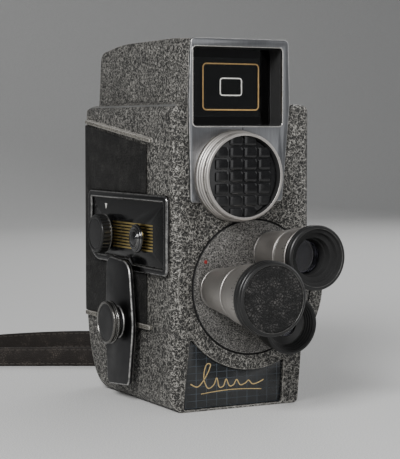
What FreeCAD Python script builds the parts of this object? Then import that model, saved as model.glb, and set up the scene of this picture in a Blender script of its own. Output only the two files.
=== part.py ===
"""Spring-driven 8 mm magazine cine camera with a three-lens turret and a photocell exposure meter.

Frame: origin at the mouth of the tripod socket, +Z up, -Y towards the lenses, +X to the right
when looking along +Y. Every length is in millimetres.
"""
import FreeCAD, Part
import math
import os

os.makedirs("parts", exist_ok=True)

V = FreeCAD.Vector

# ---------------------------------------------------------------- fits
RUN = 0.05            # radial clearance of a shaft in its bearing
GAP = 0.3             # clearance between parts that move past each other
SEAM = 0.1            # clearance between fixed parts that are put together

# ---------------------------------------------------------------- body casting
BODY_LEFT = 35.5      # left wall from the socket axis
BODY_RIGHT = 35.0     # right wall from the socket axis
BODY_FRONT = 50.0
BODY_REAR = 47.5
BODY_TOP = 136.5      # top of the shoulder at its edges
CROWN = 1.5           # rise of the shoulder between front and rear
WALL = 2.5
WAIST_Z = 80.0        # the right wall leans in below this height
FOOT_NARROWING = 6.5  # how far the right wall leans in at the bottom
FRONT_CORNER = 4.0
REAR_CORNER = 6.0
SHOULDER_ROUND = 8.0
HEEL_RUN = 22.0       # rounding of the lower rear edge, along the base
HEEL_RISE = 42.0      # rounding of the lower rear edge, up the rear wall
HEEL_FLAT = 8.5       # how near the rear the heel's curve still runs along the base
HEEL_STEEP = 22.0     # how low the heel's curve starts to stand upright
BROW_ROUND = 4.0      # rounding of the front top edge
REAR_ROUND = 8.0      # rounding of the rear top edge
LAY_BEARING_R = 4.0
LAY_BEARING_LONG = 4.0
THROAT_R = 5.0        # hole behind the taking lens

# ---------------------------------------------------------------- finder tower
TOWER_LEFT = 28.5
TOWER_RIGHT = 22.8
TOWER_TOP = 165.5
TOWER_BOTTOM = 123.5
TOWER_REAR = 43.6
TOWER_REAR_LEAN = 0.8 # lean of the rear face from foot to roof
TOWER_DROP = 3.5      # fall of the roof from the ridge to the rear
RIDGE_Y = -34.0
ROOF_BEND_Y = 18.0    # where the roof starts to fall to the rear
TOWER_CORNER = 2.6
TOWER_REAR_ROUND = 5.0
TOWER_LEFT_LEAN = 1.0 # lean of each side from the shoulder to the roof
TOWER_RIGHT_LEAN = 0.7
TOWER_WALL = 2.0
WINDOW_X = -3.8
WINDOW_Z = 144.15
WINDOW_WIDE = 45.2
WINDOW_TALL = 34.7
WINDOW_CORNER = 1.5
WINDOW_DEPTH = 8.5
LINER_WALL = 0.8
GLASS_THICK = 1.5
LINE_THICK = 0.15
LINE_X = 1.8          # middle of the frame lines from the window's middle
LINE_Z = 0.15
OUTER_LINE = (29.1, 21.2, 0.6, 2.0)  # width, height, thickness of the line, corner
INNER_LINE = (11.4, 8.1, 0.5, 1.4)
GLASS_MARGIN = 0.4
MASK_THICK = 0.8
MASK_WIDE = 34.0      # opening of the mask behind the glass
MASK_TALL = 26.0
BEZEL_THICK = 1.6
BEZEL_FOOT = 93.0
BEZEL_FOOT_LEFT = -27.5
BEZEL_FOOT_RIGHT = 19.1
EYEPIECE_R = 8.0
EYEPIECE_LONG = 4.0
EYE_LENS_R = 5.5

# ---------------------------------------------------------------- photocell
CELL_X = -5.3
CELL_Z = 104.5
COLLAR_R = 20.2
COLLAR_LONG = 5.5
RING_R = 19.4
RING_FRONT = 60.7     # how far forward of the origin the ring reaches
LENS_R = 17.4
SLEEVE_R = 16.2
CELL_LENS_THICK = 1.5
CELL_RECESS = 2.5
RING_LIP = 1.4        # width of the ring's front face
RING_CHAMFER = 0.4
HOUSING_R = 18.0      # sleeve that passes the front wall
PILLOW_PITCH_X = 7.2
PILLOW_PITCH_Z = 5.35
PILLOW_WIDE = 6.0
PILLOW_TALL = 4.6
PILLOW_HIGH = 0.9
PILLOW_COLUMNS = 4
PILLOW_ROWS = 7
PILLOW_RIM = 0.4      # plain edge of the disc round the pillows
METER_X = -17.0
METER_Z = 110.0
METER_R = 8.0
METER_WALL = 1.5
METER_PIVOT_R = 1.0
COIL_R = 4.5

# ---------------------------------------------------------------- turret and lenses
TURRET_X = 4.5
TURRET_Z = 54.5
TURRET_R = 30.3
TURRET_THICK = 3.5
TURRET_PROUD = 0.3
BOSS_R = 37.5
BOSS_WALL = 3.8
STATION_R = 18.0      # lens axes from the turret's centre
SPINDLE_R = 4.0
NUT_R = 6.5
NUT_THICK = 1.7
LENS_SCREW_R = 7.9    # threaded tail of a lens in the turret
FLANGE_TO_FILM = 12.3
CELL_TUBE_R = 9.0     # inner tube of a focusing lens
CELL_TUBE_WALL = 1.2
BARREL_BORE_R = 7.2
LONG_STEP = -76.5     # front end of the barrel, along Y
LONG_FRONT = -92.5    # front end of the scale band
LONG_HOOD = -97.6     # front end of the hood
LONG_BASE_R = 9.1
LONG_END_R = 12.5
LONG_BAND_R = (12.9, 15.0)  # scale band at its back and at its front
LONG_HOOD_R = 16.0
LONG_MOUTH_R = 14.2
STANDARD_STEP = -73.5
STANDARD_FRONT = -86.0
STANDARD_HOOD = -90.5
STANDARD_BASE_R = 9.0
STANDARD_END_R = 11.6
STANDARD_BAND_R = (12.0, 13.5)
STANDARD_HOOD_R = 14.1
STANDARD_THROAT_R = 7.0
WIDE_STEP = -58.0
WIDE_HOOD = -69.0
WIDE_BASE_R = 9.0
WIDE_END_R = 10.5
WIDE_HOOD_R = 13.3
WIDE_THROAT_R = 6.0
REAR_GLASS_R = 4.7
GLASS_DEEP = 2.5
CAP_R = 15.8
CAP_THICK = 1.9
CAP_FACE_R = 14.3
CAP_FACE_THICK = 0.6
CAP_PLUG_R = 13.4
CAP_PLUG_DEEP = 3.0

# ---------------------------------------------------------------- controls on the left wall
PANEL_FRONT = -47.5
PANEL_REAR = 36.5
PANEL_LOW = 60.2
PANEL_HIGH = 96.3
PANEL_THICK = 2.3
PANEL_RIM = 3.4
PANEL_CORNER = 3.0
PANEL_LOBE = 13.0
PANEL_STEP_Y = -11.0  # where the lower edge steps up behind the key
PANEL_STEP_RUN = 3.0
PANEL_STEP_RISE = 2.6
PLATE_SINK = 1.2
DIAL_Y = 17.0
DIAL_Z = 76.0
DIAL_R = 9.3
DIAL_FACE_R = 8.5
DIAL_HIGH = 5.0
DIAL_SHAFT_R = 2.5
DIAL_GROOVES = 30
DIAL_GROOVE_R = 0.55
BUTTON_Y = -19.0
BUTTON_Z = 75.8
BUTTON_R = 6.6
BUTTON_HIGH = 2.8
BUTTON_TRAVEL = 1.2
BUTTON_FLANGE = 0.8
PLUNGER_R = 2.5
SPRING_THICK = 0.4
SPRING_WIDE = 4.0
SPRING_REACH = 10.0   # from the plunger's axis to the fixed end of its spring
STRIPE_COUNT = 9
STRIPE_PITCH = 1.42
STRIPE_TALL = 0.75
STRIPE_FRONT = -32.0
STRIPE_REAR = 10.5

# ---------------------------------------------------------------- winding key and motor
KEY_Y = -6.5
KEY_Z = 36.7
KEY_FACE = 42.0       # outer face of the paddle from the origin
KEY_THICK = 2.2
KEY_TILT = 4.0        # lean of the paddle at rest, degrees
KEY_OUTLINE = (       # corners of the paddle as (back from the axis, up from the axis, rounding)
    (-12.8, -27.5, 3.0),
    (9.9, -31.0, 3.0),
    (14.2, 0.0, 60.0),
    (14.4, 29.0, 5.0),
    (-9.4, 29.0, 7.5),
    (-15.6, 0.0, 34.0),
)
HUB_R = 9.8
HUB_NECK_R = 7.0
HUB_FACE = 48.6
HUB_THICK = 3.8
HUB_RIM = 2.2
HUB_SINK = 0.3
HUB_SOCKET = 1.2      # how deep the arbor sits in the hub
KEY_SHOULDER_R = 6.5
KEY_CLEAR_R = 8.0     # hole of the skin and trim round the key's shoulder
ARBOR_R = 3.0
BARREL_R = 27.0
BARREL_X0 = -31.5
BARREL_WALL = 1.5
MAINSPRING_R = 24.6
MAINSPRING_TURNS = 6
MAINSPRING_PITCH = 2.0
MAINSPRING_THICK = 0.6
MODULE_SPUR = 0.8
WHEEL_TEETH = 72
PINION_TEETH = 20
CROWN_TEETH = 36
BEVEL_TEETH = 9
CROWN_R = 12.0
SHUTTER_X = -6.0
SHUTTER_R = 23.5
SHUTTER_THICK = 0.5
SHUTTER_HUB_R = 5.0
GOVERNOR_Y = -36.5
GOVERNOR_LONG = 5.0
GOVERNOR_R = 5.8
SHAFT_R = 1.5

# ---------------------------------------------------------------- film side
MAG_THICK = 23.0
MAG_LONG = 66.0
MAG_TALL = 78.0
CHASSIS_X = 0.6
CHASSIS_THICK = 2.0
DOOR_SIDE = 20.0      # the door wraps no further in than this
DOOR_LOW = 26.0
DOOR_HIGH = 122.0
DOOR_FRONT = -36.0
DOOR_REAR = 40.0
DOOR_GAP = 0.5
HINGE_X = 36.9
HINGE_Y = 41.0
KNUCKLE_R = 1.6
HINGE_PIN_R = 0.8
SHELL_KNUCKLES = ((34.0, 42.0), (106.0, 114.0))
DOOR_KNUCKLE = (60.0, 100.0)
LATCH_Y = -28.0
LATCH_Z = 96.0
LATCH_R = 6.0
LATCH_HIGH = 3.6
LATCH_GRIP = 2.4
LATCH_SHAFT_R = 2.0

COUNTER_X = -12.0
COUNTER_Z = 84.0
COUNTER_R = 6.5
COUNTER_THICK = 1.2
COUNTER_DIAL_R = 9.5
CHASSIS_POSTS = ((-30.0, 14.0), (34.0, 56.0), (34.0, 112.0))

# ---------------------------------------------------------------- skins, plates and strap
SKIN = 0.8
SKIN_FRONT = -24.3
SKIN_LOW = 37.0
SKIN_HIGH = 118.1      # top of the skin at the front; it follows the rib above it
LIP_PROUD = 1.6
LIP_TALL = 1.9
LIP_START = 29.6      # front end of the rib, ahead of the socket axis
LIP_FRONT_Z = 119.2
LIP_REAR_Z = 128.6
TRIM_FRONT = -29.5
TRIM_TALL = 2.1
TRIM_PROUD = 1.7
NAME_LEFT = (-30.5, -27.2)  # left edge at the foot and at the top
NAME_RIGHT = (20.2, 21.5)
NAME_LOW = 1.0
NAME_HIGH = 32.0
NAME_PAD = 2.0        # thicker wall round the sunk field
NAME_RECESS = 2.2
NAME_THICK = 0.8
SOCKET_R = 3.1
SOCKET_DEEP = 8.0
BUSH_R = 8.0
STRAP_WIDE = 10.0
STRAP_THICK = 1.8
STUD_X = 22.0
STUD_Y = 54.0
STUD_Z = 12.5
STUD_R = 2.0
STUD_POST_R = 1.8
STRAP_ROUTE = (       # corners of the strap's middle line as (x, y, rounding)
    (17.4, 50.8, 3.0),
    (26.6, 50.8, 3.0),
    (28.0, 62.0, 12.0),
    (36.0, 92.0, 30.0),
    (40.0, 130.0, 30.0),
    (16.0, 160.0, 30.0),
    (-30.0, 168.0, 60.0),
    (-74.0, 158.0, 30.0),
    (-90.0, 138.0, 12.0),
    (-68.0, 124.0, 14.0),
    (-32.0, 106.0, 60.0),
    (2.0, 88.0, 30.0),
    (15.6, 66.0, 16.0),
)

# ---------------------------------------------------------------- worked-out places
TURRET_FACE = -(BODY_FRONT + TURRET_PROUD)
TURRET_BACK = TURRET_FACE + TURRET_THICK
POCKET_FLOOR = TURRET_BACK + GAP
BOSS_BACK = POCKET_FLOOR + BOSS_WALL
FILM_Y = TURRET_FACE + FLANGE_TO_FILM
GATE_THICK = 1.0
TAKING_X = TURRET_X + STATION_R * math.cos(math.radians(60))
TAKING_Z = TURRET_Z + STATION_R * math.sin(math.radians(60))
WHEEL_PITCH_R = MODULE_SPUR * WHEEL_TEETH / 2
PINION_PITCH_R = MODULE_SPUR * PINION_TEETH / 2
SHUTTER_Z = KEY_Z + 36.0
LAY_Y = KEY_Y - math.sqrt((WHEEL_PITCH_R + PINION_PITCH_R) ** 2 - (SHUTTER_Z - KEY_Z) ** 2)
WHEEL_X = -15.0
WHEEL_THICK = 2.4
CHASSIS_FRONT = FILM_Y - 0.2
COLLAR_FRONT = -(BODY_FRONT + COLLAR_LONG)
CELL_LENS_FRONT = -RING_FRONT + CELL_RECESS
CELL_LENS_BACK = CELL_LENS_FRONT + CELL_LENS_THICK
PLATE_FACE = -BODY_LEFT - PANEL_THICK + PLATE_SINK
BUTTON_BASE = PLATE_FACE - BUTTON_TRAVEL - GAP
BARREL_X1 = WHEEL_X - GAP
MESH_ANGLE = math.degrees(math.atan2(SHUTTER_Z - KEY_Z, LAY_Y - KEY_Y))
CROWN_PITCH = 2 * math.pi * CROWN_R / CROWN_TEETH
BEVEL_R = CROWN_R * BEVEL_TEETH / CROWN_TEETH
BEVEL_Y = LAY_Y - CROWN_R
CROWN_TIP_X = SHUTTER_X - BEVEL_R + 0.5
CROWN_ROOT_X = SHUTTER_X - BEVEL_R - 0.9
CROWN_BACK_X = CROWN_ROOT_X - 1.3
SHUTTER_Y0 = BOSS_BACK + 1.1
MAG_X0 = CHASSIS_X + CHASSIS_THICK + 0.6
MAG_Y0 = FILM_Y + 0.2
MAG_Z0 = TAKING_Z - MAG_TALL / 2


# ---------------------------------------------------------------- small shape helpers
def box(x0, x1, y0, y1, z0, z1):
    """Block between two corners."""
    return Part.makeBox(x1 - x0, y1 - y0, z1 - z0, V(x0, y0, z0))


def rod_x(y, z, radius, x0, x1):
    """Cylinder along X."""
    return Part.makeCylinder(radius, x1 - x0, V(x0, y, z), V(1, 0, 0))


def rod_y(x, z, radius, y0, y1):
    """Cylinder along Y."""
    return Part.makeCylinder(radius, y1 - y0, V(x, y0, z), V(0, 1, 0))


def rod_z(x, y, radius, z0, z1):
    """Cylinder along Z."""
    return Part.makeCylinder(radius, z1 - z0, V(x, y, z0), V(0, 0, 1))


def cone_y(x, z, r0, y0, r1, y1):
    """Cone along +Y, radius r0 at y0 and r1 at y1."""
    return Part.makeCone(r0, r1, y1 - y0, V(x, y0, z), V(0, 1, 0))


def turned_y(x, z, profile):
    """Solid of revolution about a line along Y; the profile is a list of (radius, y)."""
    points = [V(x + radius, y, z) for radius, y in profile]
    face = Part.Face(Part.makePolygon(points + points[:1]))
    return face.revolve(V(x, 0, z), V(0, 1, 0), 360)


def turned_x(y, z, profile):
    """Solid of revolution about a line along X; the profile is a list of (radius, x)."""
    points = [V(x, y + radius, z) for radius, x in profile]
    face = Part.Face(Part.makePolygon(points + points[:1]))
    return face.revolve(V(0, y, z), V(1, 0, 0), 360)


def rounded_wire(corners):
    """Closed wire through (point, radius) corners, each rounded by a tangent arc."""
    edges = []
    ends = []
    count = len(corners)
    for i in range(count):
        point, radius = corners[i]
        before = (corners[i - 1][0] - point).normalize()
        after = (corners[(i + 1) % count][0] - point).normalize()
        if radius <= 0:
            ends.append((point, None, point))
            continue
        half = before.getAngle(after) / 2
        reach = radius / math.tan(half)
        start = point + before * reach
        end = point + after * reach
        inward = (before + after).normalize()
        middle = point + inward * (radius / math.sin(half) - radius)
        ends.append((start, middle, end))
    for i in range(count):
        start, middle, end = ends[i]
        if middle is not None:
            edges.append(Part.Arc(start, middle, end).toShape())
        following = ends[(i + 1) % count][0]
        if end.distanceToPoint(following) > 1e-6:
            edges.append(Part.LineSegment(end, following).toShape())
    return Part.Wire(edges)


def prism_y(corners, y0, y1):
    """Front-view outline of (x, z, radius) corners, drawn from y0 to y1."""
    wire = rounded_wire([(V(x, y0, z), radius) for x, z, radius in corners])
    return Part.Face(wire).extrude(V(0, y1 - y0, 0))


def prism_x(corners, x0, x1):
    """Side-view outline of (y, z, radius) corners, drawn from x0 to x1."""
    wire = rounded_wire([(V(x0, y, z), radius) for y, z, radius in corners])
    return Part.Face(wire).extrude(V(x1 - x0, 0, 0))


def prism_z(corners, z0, z1):
    """Plan outline of (x, y, radius) corners, drawn from z0 to z1."""
    wire = rounded_wire([(V(x, y, z0), radius) for x, y, radius in corners])
    return Part.Face(wire).extrude(V(0, 0, z1 - z0))


def common_all(shapes):
    """Intersection of several solids."""
    result = shapes[0]
    for shape in shapes[1:]:
        result = result.common(shape)
    return result


def fuse_all(shapes):
    """Union of several solids as one clean solid."""
    result = shapes[0].fuse(shapes[1:])
    return result.removeSplitter()


# ---------------------------------------------------------------- the body's outer form
def body_block(inset):
    """Outer form of the body, moved inwards by inset on every side."""
    left = -BODY_LEFT + inset
    right = BODY_RIGHT - inset
    front = -BODY_FRONT + inset
    rear = BODY_REAR - inset
    top = BODY_TOP - inset
    low = inset
    foot = right - FOOT_NARROWING
    round_top = max(SHOULDER_ROUND - inset, 0.5)
    plan = prism_z(
        [
            (left, front, max(FRONT_CORNER - inset, 0.5)),
            (right, front, max(FRONT_CORNER - inset, 0.5)),
            (right, rear, max(REAR_CORNER - inset, 0.5)),
            (left, rear, 0),
        ],
        low,
        top + CROWN,
    )
    face = prism_y(
        [
            (left, low, 1.5),
            (foot, low, 2.5),
            (right, WAIST_Z, 20.0),
            (right, top + CROWN, round_top),
            (left, top + CROWN, round_top),
        ],
        front,
        rear,
    )
    side = side_block(left, right, front, rear, low, top)
    rounded_edges = [edge for edge in side.Edges if is_rear_left_edge(edge, left, rear)]
    side = side.makeFillet(max(REAR_CORNER - inset, 0.5), rounded_edges)
    return common_all([plan, face, side])


def side_block(left, right, front, rear, low, top):
    """Side view of the body, from wall to wall: heel, rear, crowned top and rounded brow."""
    heel = heel_curve(left, rear, low)
    heel_top = heel.Vertexes[-1].Point
    heel_foot = heel.Vertexes[0].Point
    rear_top = V(left, rear, top - REAR_ROUND * 0.8)
    rear_middle = V(left, rear - REAR_ROUND * 0.28, top - REAR_ROUND * 0.24)
    roof_rear = V(left, rear - REAR_ROUND, top)
    roof_middle = V(left, (front + rear) / 2, top + CROWN)
    roof_front = V(left, front + BROW_ROUND, top)
    brow_middle = V(left, front + BROW_ROUND * 0.25, top - BROW_ROUND * 0.27)
    brow_foot = V(left, front, top - BROW_ROUND)
    edges = [
        Part.LineSegment(V(left, front, low), heel_foot).toShape(),
        heel,
        Part.LineSegment(heel_top, rear_top).toShape(),
        Part.Arc(rear_top, rear_middle, roof_rear).toShape(),
        Part.Arc(roof_rear, roof_middle, roof_front).toShape(),
        Part.Arc(roof_front, brow_middle, brow_foot).toShape(),
        Part.LineSegment(brow_foot, V(left, front, low)).toShape(),
    ]
    return Part.Face(Part.Wire(edges)).extrude(V(right - left, 0, 0))


def is_rear_left_edge(edge, left, rear):
    """Tells the upright and heel edges where the left wall meets the rear."""
    on_left = all(abs(vertex.Point.x - left) < 1e-6 for vertex in edge.Vertexes)
    reaches_rear = any(abs(vertex.Point.y - rear) < 1e-6 for vertex in edge.Vertexes)
    below_roof = all(vertex.Point.z < BODY_TOP - REAR_ROUND * 0.5 for vertex in edge.Vertexes)
    return on_left and reaches_rear and below_roof


def heel_curve(x, rear, low):
    """Curve that rounds the lower rear edge, level at the base and upright at the rear."""
    points = [
        V(x, rear - HEEL_RUN, low),
        V(x, rear - HEEL_FLAT, low),
        V(x, rear, low + HEEL_STEEP),
        V(x, rear, HEEL_RISE),
    ]
    curve = Part.BezierCurve()
    curve.setPoles(points)
    return curve.toShape()


def tower_block(inset):
    """Outer form of the finder tower, moved inwards by inset; it reaches down into the body."""
    left = -TOWER_LEFT + inset
    right = TOWER_RIGHT - inset
    front = -BODY_FRONT
    rear = TOWER_REAR - inset
    top = TOWER_TOP - inset
    low = TOWER_BOTTOM + inset
    corner = max(TOWER_CORNER - inset, 0.6)
    face = prism_y(
        [
            (left, low, 0),
            (right, low, 0),
            (right, BODY_TOP, 40.0),
            (right - TOWER_RIGHT_LEAN, top + 1.0, corner),
            (left + TOWER_LEFT_LEAN, top + 1.0, corner),
            (left, BODY_TOP, 40.0),
        ],
        front,
        rear,
    )
    side = prism_x(
        [
            (front, low, 0),
            (rear, low, 0),
            (rear, BODY_TOP, 60.0),
            (rear - TOWER_REAR_LEAN, top - TOWER_DROP, max(TOWER_REAR_ROUND - inset, 1.0)),
            (ROOF_BEND_Y, top, 120.0),
            (RIDGE_Y, top + 0.4, 60.0),
            (front, top - 0.5, 0),
        ],
        left,
        right,
    )
    return face.common(side)


def window_opening(y0, y1, margin=0.0):
    """Block that fills the finder window, grown by margin on each side."""
    wide = WINDOW_WIDE / 2 + margin
    tall = WINDOW_TALL / 2 + margin
    corner = WINDOW_CORNER + margin
    return prism_y(
        [
            (WINDOW_X - wide, WINDOW_Z - tall, corner),
            (WINDOW_X + wide, WINDOW_Z - tall, corner),
            (WINDOW_X + wide, WINDOW_Z + tall, corner),
            (WINDOW_X - wide, WINDOW_Z + tall, corner),
        ],
        y0,
        y1,
    )


def door_box(margin):
    """Space of the magazine door, grown by margin round its edge."""
    return box(
        DOOR_SIDE,
        BODY_RIGHT + 8,
        DOOR_FRONT - margin,
        DOOR_REAR + margin,
        DOOR_LOW - margin,
        DOOR_HIGH + margin,
    )


def panel_outline(inset, x0, x1):
    """Outline of the control panel on the left wall, with its lobe round the dial."""
    corner = max(PANEL_CORNER - inset, 0.8)
    half_slope = math.atan2(PANEL_STEP_RISE, PANEL_STEP_RUN) / 2
    shift = inset * math.tan(half_slope)
    return prism_x(
        [
            (PANEL_FRONT + inset, PANEL_LOW + inset, corner),
            (PANEL_STEP_Y - shift, PANEL_LOW + inset, 1.0),
            (PANEL_STEP_Y + PANEL_STEP_RUN - shift, PANEL_LOW + PANEL_STEP_RISE + inset, 1.0),
            (PANEL_REAR - inset, PANEL_LOW + PANEL_STEP_RISE + inset, PANEL_LOBE - inset),
            (PANEL_REAR - inset, PANEL_HIGH - inset, corner),
            (PANEL_FRONT + inset, PANEL_HIGH - inset, corner),
        ],
        x0,
        x1,
    )


# ---------------------------------------------------------------- housing parts
def make_body_shell():
    """Crackle-finished casting with the turret boss, the door opening and every bearing."""
    boss = rod_y(TURRET_X, TURRET_Z, BOSS_R, -BODY_FRONT, BOSS_BACK)
    name_pad = box(
        min(NAME_LEFT) - NAME_PAD,
        max(NAME_RIGHT) + NAME_PAD,
        -BODY_FRONT + 1,
        -BODY_FRONT + WALL + NAME_PAD + 0.5,
        WALL,
        NAME_HIGH + NAME_PAD,
    )
    hollow = body_block(WALL)
    shell = body_block(0).cut(hollow)
    shell = fuse_all([shell, boss, name_pad, make_shell_knuckles(), make_upper_lip()])
    lay_bearing = rod_x(LAY_Y, SHUTTER_Z, LAY_BEARING_R, -BODY_LEFT + 1, -BODY_LEFT + 1 + LAY_BEARING_LONG)
    plunger_bore_end = -BODY_LEFT + WALL + 1 + BUTTON_TRAVEL + GAP
    shell = shell.fuse(lay_bearing)
    cuts = [
        tower_block(0),
        rod_y(TURRET_X, TURRET_Z, TURRET_R + GAP, TURRET_FACE - 1, POCKET_FLOOR),
        rod_y(TURRET_X, TURRET_Z, SPINDLE_R + RUN, POCKET_FLOOR - 1, BOSS_BACK + 1),
        rod_y(TURRET_X, TURRET_Z, NUT_R + GAP, BOSS_BACK - NUT_THICK - GAP, BOSS_BACK + 1),
        rod_y(TAKING_X, TAKING_Z, THROAT_R, POCKET_FLOOR - 1, BOSS_BACK + 1),
        rod_y(SHUTTER_X, SHUTTER_Z, SHAFT_R + RUN, BOSS_BACK - 2.5, BOSS_BACK + 1),
        rod_y(CELL_X, CELL_Z, HOUSING_R, -BODY_FRONT - 1, BOSS_BACK + 1),
        name_recess(),
        door_box(DOOR_GAP),
        rod_x(KEY_Y, KEY_Z, ARBOR_R + RUN, -BODY_LEFT - 1, -BODY_LEFT + WALL + 1),
        rod_x(LAY_Y, SHUTTER_Z, SHAFT_R + RUN, -BODY_LEFT + 1.5, -BODY_LEFT + 6),
        rod_x(DIAL_Y, DIAL_Z, DIAL_SHAFT_R + RUN, -BODY_LEFT - 1, -BODY_LEFT + WALL + 1),
        rod_x(BUTTON_Y, BUTTON_Z, PLUNGER_R + RUN, -BODY_LEFT - 1, plunger_bore_end),
        rod_z(0, 0, BUSH_R, -1, WALL + 1),
        rod_y(COUNTER_X, COUNTER_Z, COUNTER_R, BODY_REAR - WALL - 1, BODY_REAR + 2),
        rod_y(STUD_X, STUD_Z, STUD_R, BODY_REAR - 12, BODY_REAR + 2),
        rod_z(HINGE_X, HINGE_Y, HINGE_PIN_R, DOOR_LOW, DOOR_HIGH),
    ]
    shell = shell.cut(Part.makeCompound(cuts))
    return shell


def name_recess(margin=0.0, y0=-BODY_FRONT - 1, y1=-BODY_FRONT + NAME_RECESS):
    """Sunk field of the nameplate, with its top cut round by the turret boss."""
    field = prism_y(
        [
            (NAME_LEFT[0] - margin, NAME_LOW - margin, 1.5),
            (NAME_RIGHT[0] + margin, NAME_LOW - margin, 1.5),
            (NAME_RIGHT[1] + margin, NAME_HIGH + margin, 1.0),
            (NAME_LEFT[1] - margin, NAME_HIGH + margin, 1.0),
        ],
        y0,
        y1,
    )
    return field.cut(rod_y(TURRET_X, TURRET_Z, BOSS_R - margin, y0 - 1, y1 + 1))


def make_shell_knuckles():
    """Upper and lower hinge knuckles that stand on the casting."""
    pieces = []
    for z0, z1 in SHELL_KNUCKLES:
        foot = lean_x(z0)
        pieces.append(box(foot - 2.4, HINGE_X, HINGE_Y - 0.4, HINGE_Y + 3.5, z0, z1))
        pieces.append(rod_z(HINGE_X, HINGE_Y, KNUCKLE_R, z0, z1))
    return fuse_pieces(pieces)


def lean_x(z):
    """Outer face of the right wall at height z."""
    if z >= WAIST_Z:
        return BODY_RIGHT
    return BODY_RIGHT - FOOT_NARROWING * (WAIST_Z - z) / WAIST_Z


def fuse_pieces(pieces):
    """Union that may stay in several separate lumps."""
    return pieces[0].fuse(pieces[1:])


def make_magazine_door():
    """Door cut from the same wall as the body, with its middle hinge knuckle."""
    wall = body_block(0).cut(body_block(WALL)).common(door_box(0))
    low, high = DOOR_KNUCKLE
    knuckle = rod_z(HINGE_X, HINGE_Y, KNUCKLE_R, low, high)
    leaf = box(BODY_RIGHT - 1.6, HINGE_X, HINGE_Y - 6.0, HINGE_Y - 1.0, low, high)
    arm = box(BODY_RIGHT + GAP, HINGE_X, HINGE_Y - 2.0, HINGE_Y, low, high)
    door = fuse_all([wall, leaf, arm, knuckle])
    door = door.cut(rod_z(HINGE_X, HINGE_Y, HINGE_PIN_R + RUN, low - 5, high + 5))
    return door.cut(rod_x(LATCH_Y, LATCH_Z, LATCH_SHAFT_R + RUN, BODY_RIGHT - WALL - 1, BODY_RIGHT + 1))


def make_hinge_pin():
    """Pin through the three knuckles."""
    return rod_z(HINGE_X, HINGE_Y, HINGE_PIN_R, SHELL_KNUCKLES[0][0], SHELL_KNUCKLES[1][1])


def make_door_latch():
    """Turn button on the door, drawn released, with the tongue that catches behind the casting."""
    face = BODY_RIGHT + SKIN
    knob = turned_x(
        LATCH_Y,
        LATCH_Z,
        [
            (0, face + LATCH_HIGH),
            (LATCH_R - 0.8, face + LATCH_HIGH),
            (LATCH_R, face + LATCH_HIGH - 0.8),
            (LATCH_R, face + GAP),
            (0, face + GAP),
        ],
    )
    grip = box(
        face + LATCH_HIGH,
        face + LATCH_HIGH + LATCH_GRIP,
        LATCH_Y - 1.0,
        LATCH_Y + 1.0,
        LATCH_Z - LATCH_R + 1.0,
        LATCH_Z + LATCH_R - 1.0,
    )
    shaft = rod_x(LATCH_Y, LATCH_Z, LATCH_SHAFT_R, BODY_RIGHT - WALL - 2.0, face + 1)
    inner = BODY_RIGHT - WALL - GAP
    reach = LATCH_Y - DOOR_FRONT + 3.5
    tongue = box(inner - 1.5, inner, LATCH_Y - 2.5, LATCH_Y + 2.5, LATCH_Z - 2.5, LATCH_Z + reach)
    return fuse_all([knob, grip, shaft, tongue])


def make_skin(x_low, x_high, y_front, y_rear):
    """Leather-cloth skin on the body within a plan window, between the two trims."""
    skin = body_block(-SKIN).cut(body_block(0))
    rise = (LIP_REAR_Z - LIP_FRONT_Z) / (BODY_REAR - REAR_CORNER + LIP_START)
    top_rear = SKIN_HIGH + rise * (y_rear - y_front)
    outline = [(y_front, SKIN_LOW, 0), (y_rear, SKIN_LOW, 0), (y_rear, top_rear, 0), (y_front, SKIN_HIGH, 0)]
    return skin.common(prism_x(outline, x_low, x_high))


def make_leather_left():
    """Skin on the left wall and round the rear, cut out for panel, key shaft and counter."""
    skin = make_skin(-BODY_LEFT - 2, 24.0, SKIN_FRONT, BODY_REAR + 2)
    skin = skin.cut(panel_outline(-SEAM, -BODY_LEFT - 3, -BODY_LEFT + 1))
    skin = skin.cut(rod_y(COUNTER_X, COUNTER_Z, COUNTER_R + 1.5, BODY_REAR - 2, BODY_REAR + 2))
    return skin.cut(rod_x(KEY_Y, KEY_Z, KEY_CLEAR_R, -BODY_LEFT - 3, -BODY_LEFT + 1))


def make_leather_door():
    """Skin on the magazine door."""
    skin = body_block(-SKIN).cut(body_block(0))
    window = box(22.0, BODY_RIGHT + 2, DOOR_FRONT + 3, HINGE_Y - 8.0, SKIN_LOW, DOOR_HIGH - 3)
    return skin.common(window).cut(rod_x(LATCH_Y, LATCH_Z, LATCH_SHAFT_R + 1, BODY_RIGHT - 1, BODY_RIGHT + 2))


def make_upper_lip():
    """Raised rib on the left wall above the skin, rising to the rear."""
    front = -LIP_START
    rear = BODY_REAR - REAR_CORNER
    return prism_x(
        [
            (front, LIP_FRONT_Z, 0.6),
            (rear, LIP_REAR_Z - 0.6, 0.6),
            (rear, LIP_REAR_Z - 0.6 + LIP_TALL, 0.8),
            (front, LIP_FRONT_Z + LIP_TALL, 0.8),
        ],
        -BODY_LEFT - LIP_PROUD,
        -BODY_LEFT + 0.5,
    )


def make_lower_trim():
    """Raised bar below the skin on the left wall, with a rounded front end."""
    corners = [
        (TRIM_FRONT, SKIN_LOW - TRIM_TALL, 0.9),
        (BODY_REAR - REAR_CORNER, SKIN_LOW - TRIM_TALL, 0.6),
        (BODY_REAR - REAR_CORNER, SKIN_LOW, 0.6),
        (TRIM_FRONT, SKIN_LOW, 0.9),
    ]
    strip = prism_x(corners, -BODY_LEFT - TRIM_PROUD, -BODY_LEFT)
    return strip.cut(rod_x(KEY_Y, KEY_Z, KEY_CLEAR_R, -BODY_LEFT - 2, -BODY_LEFT + 1))


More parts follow.
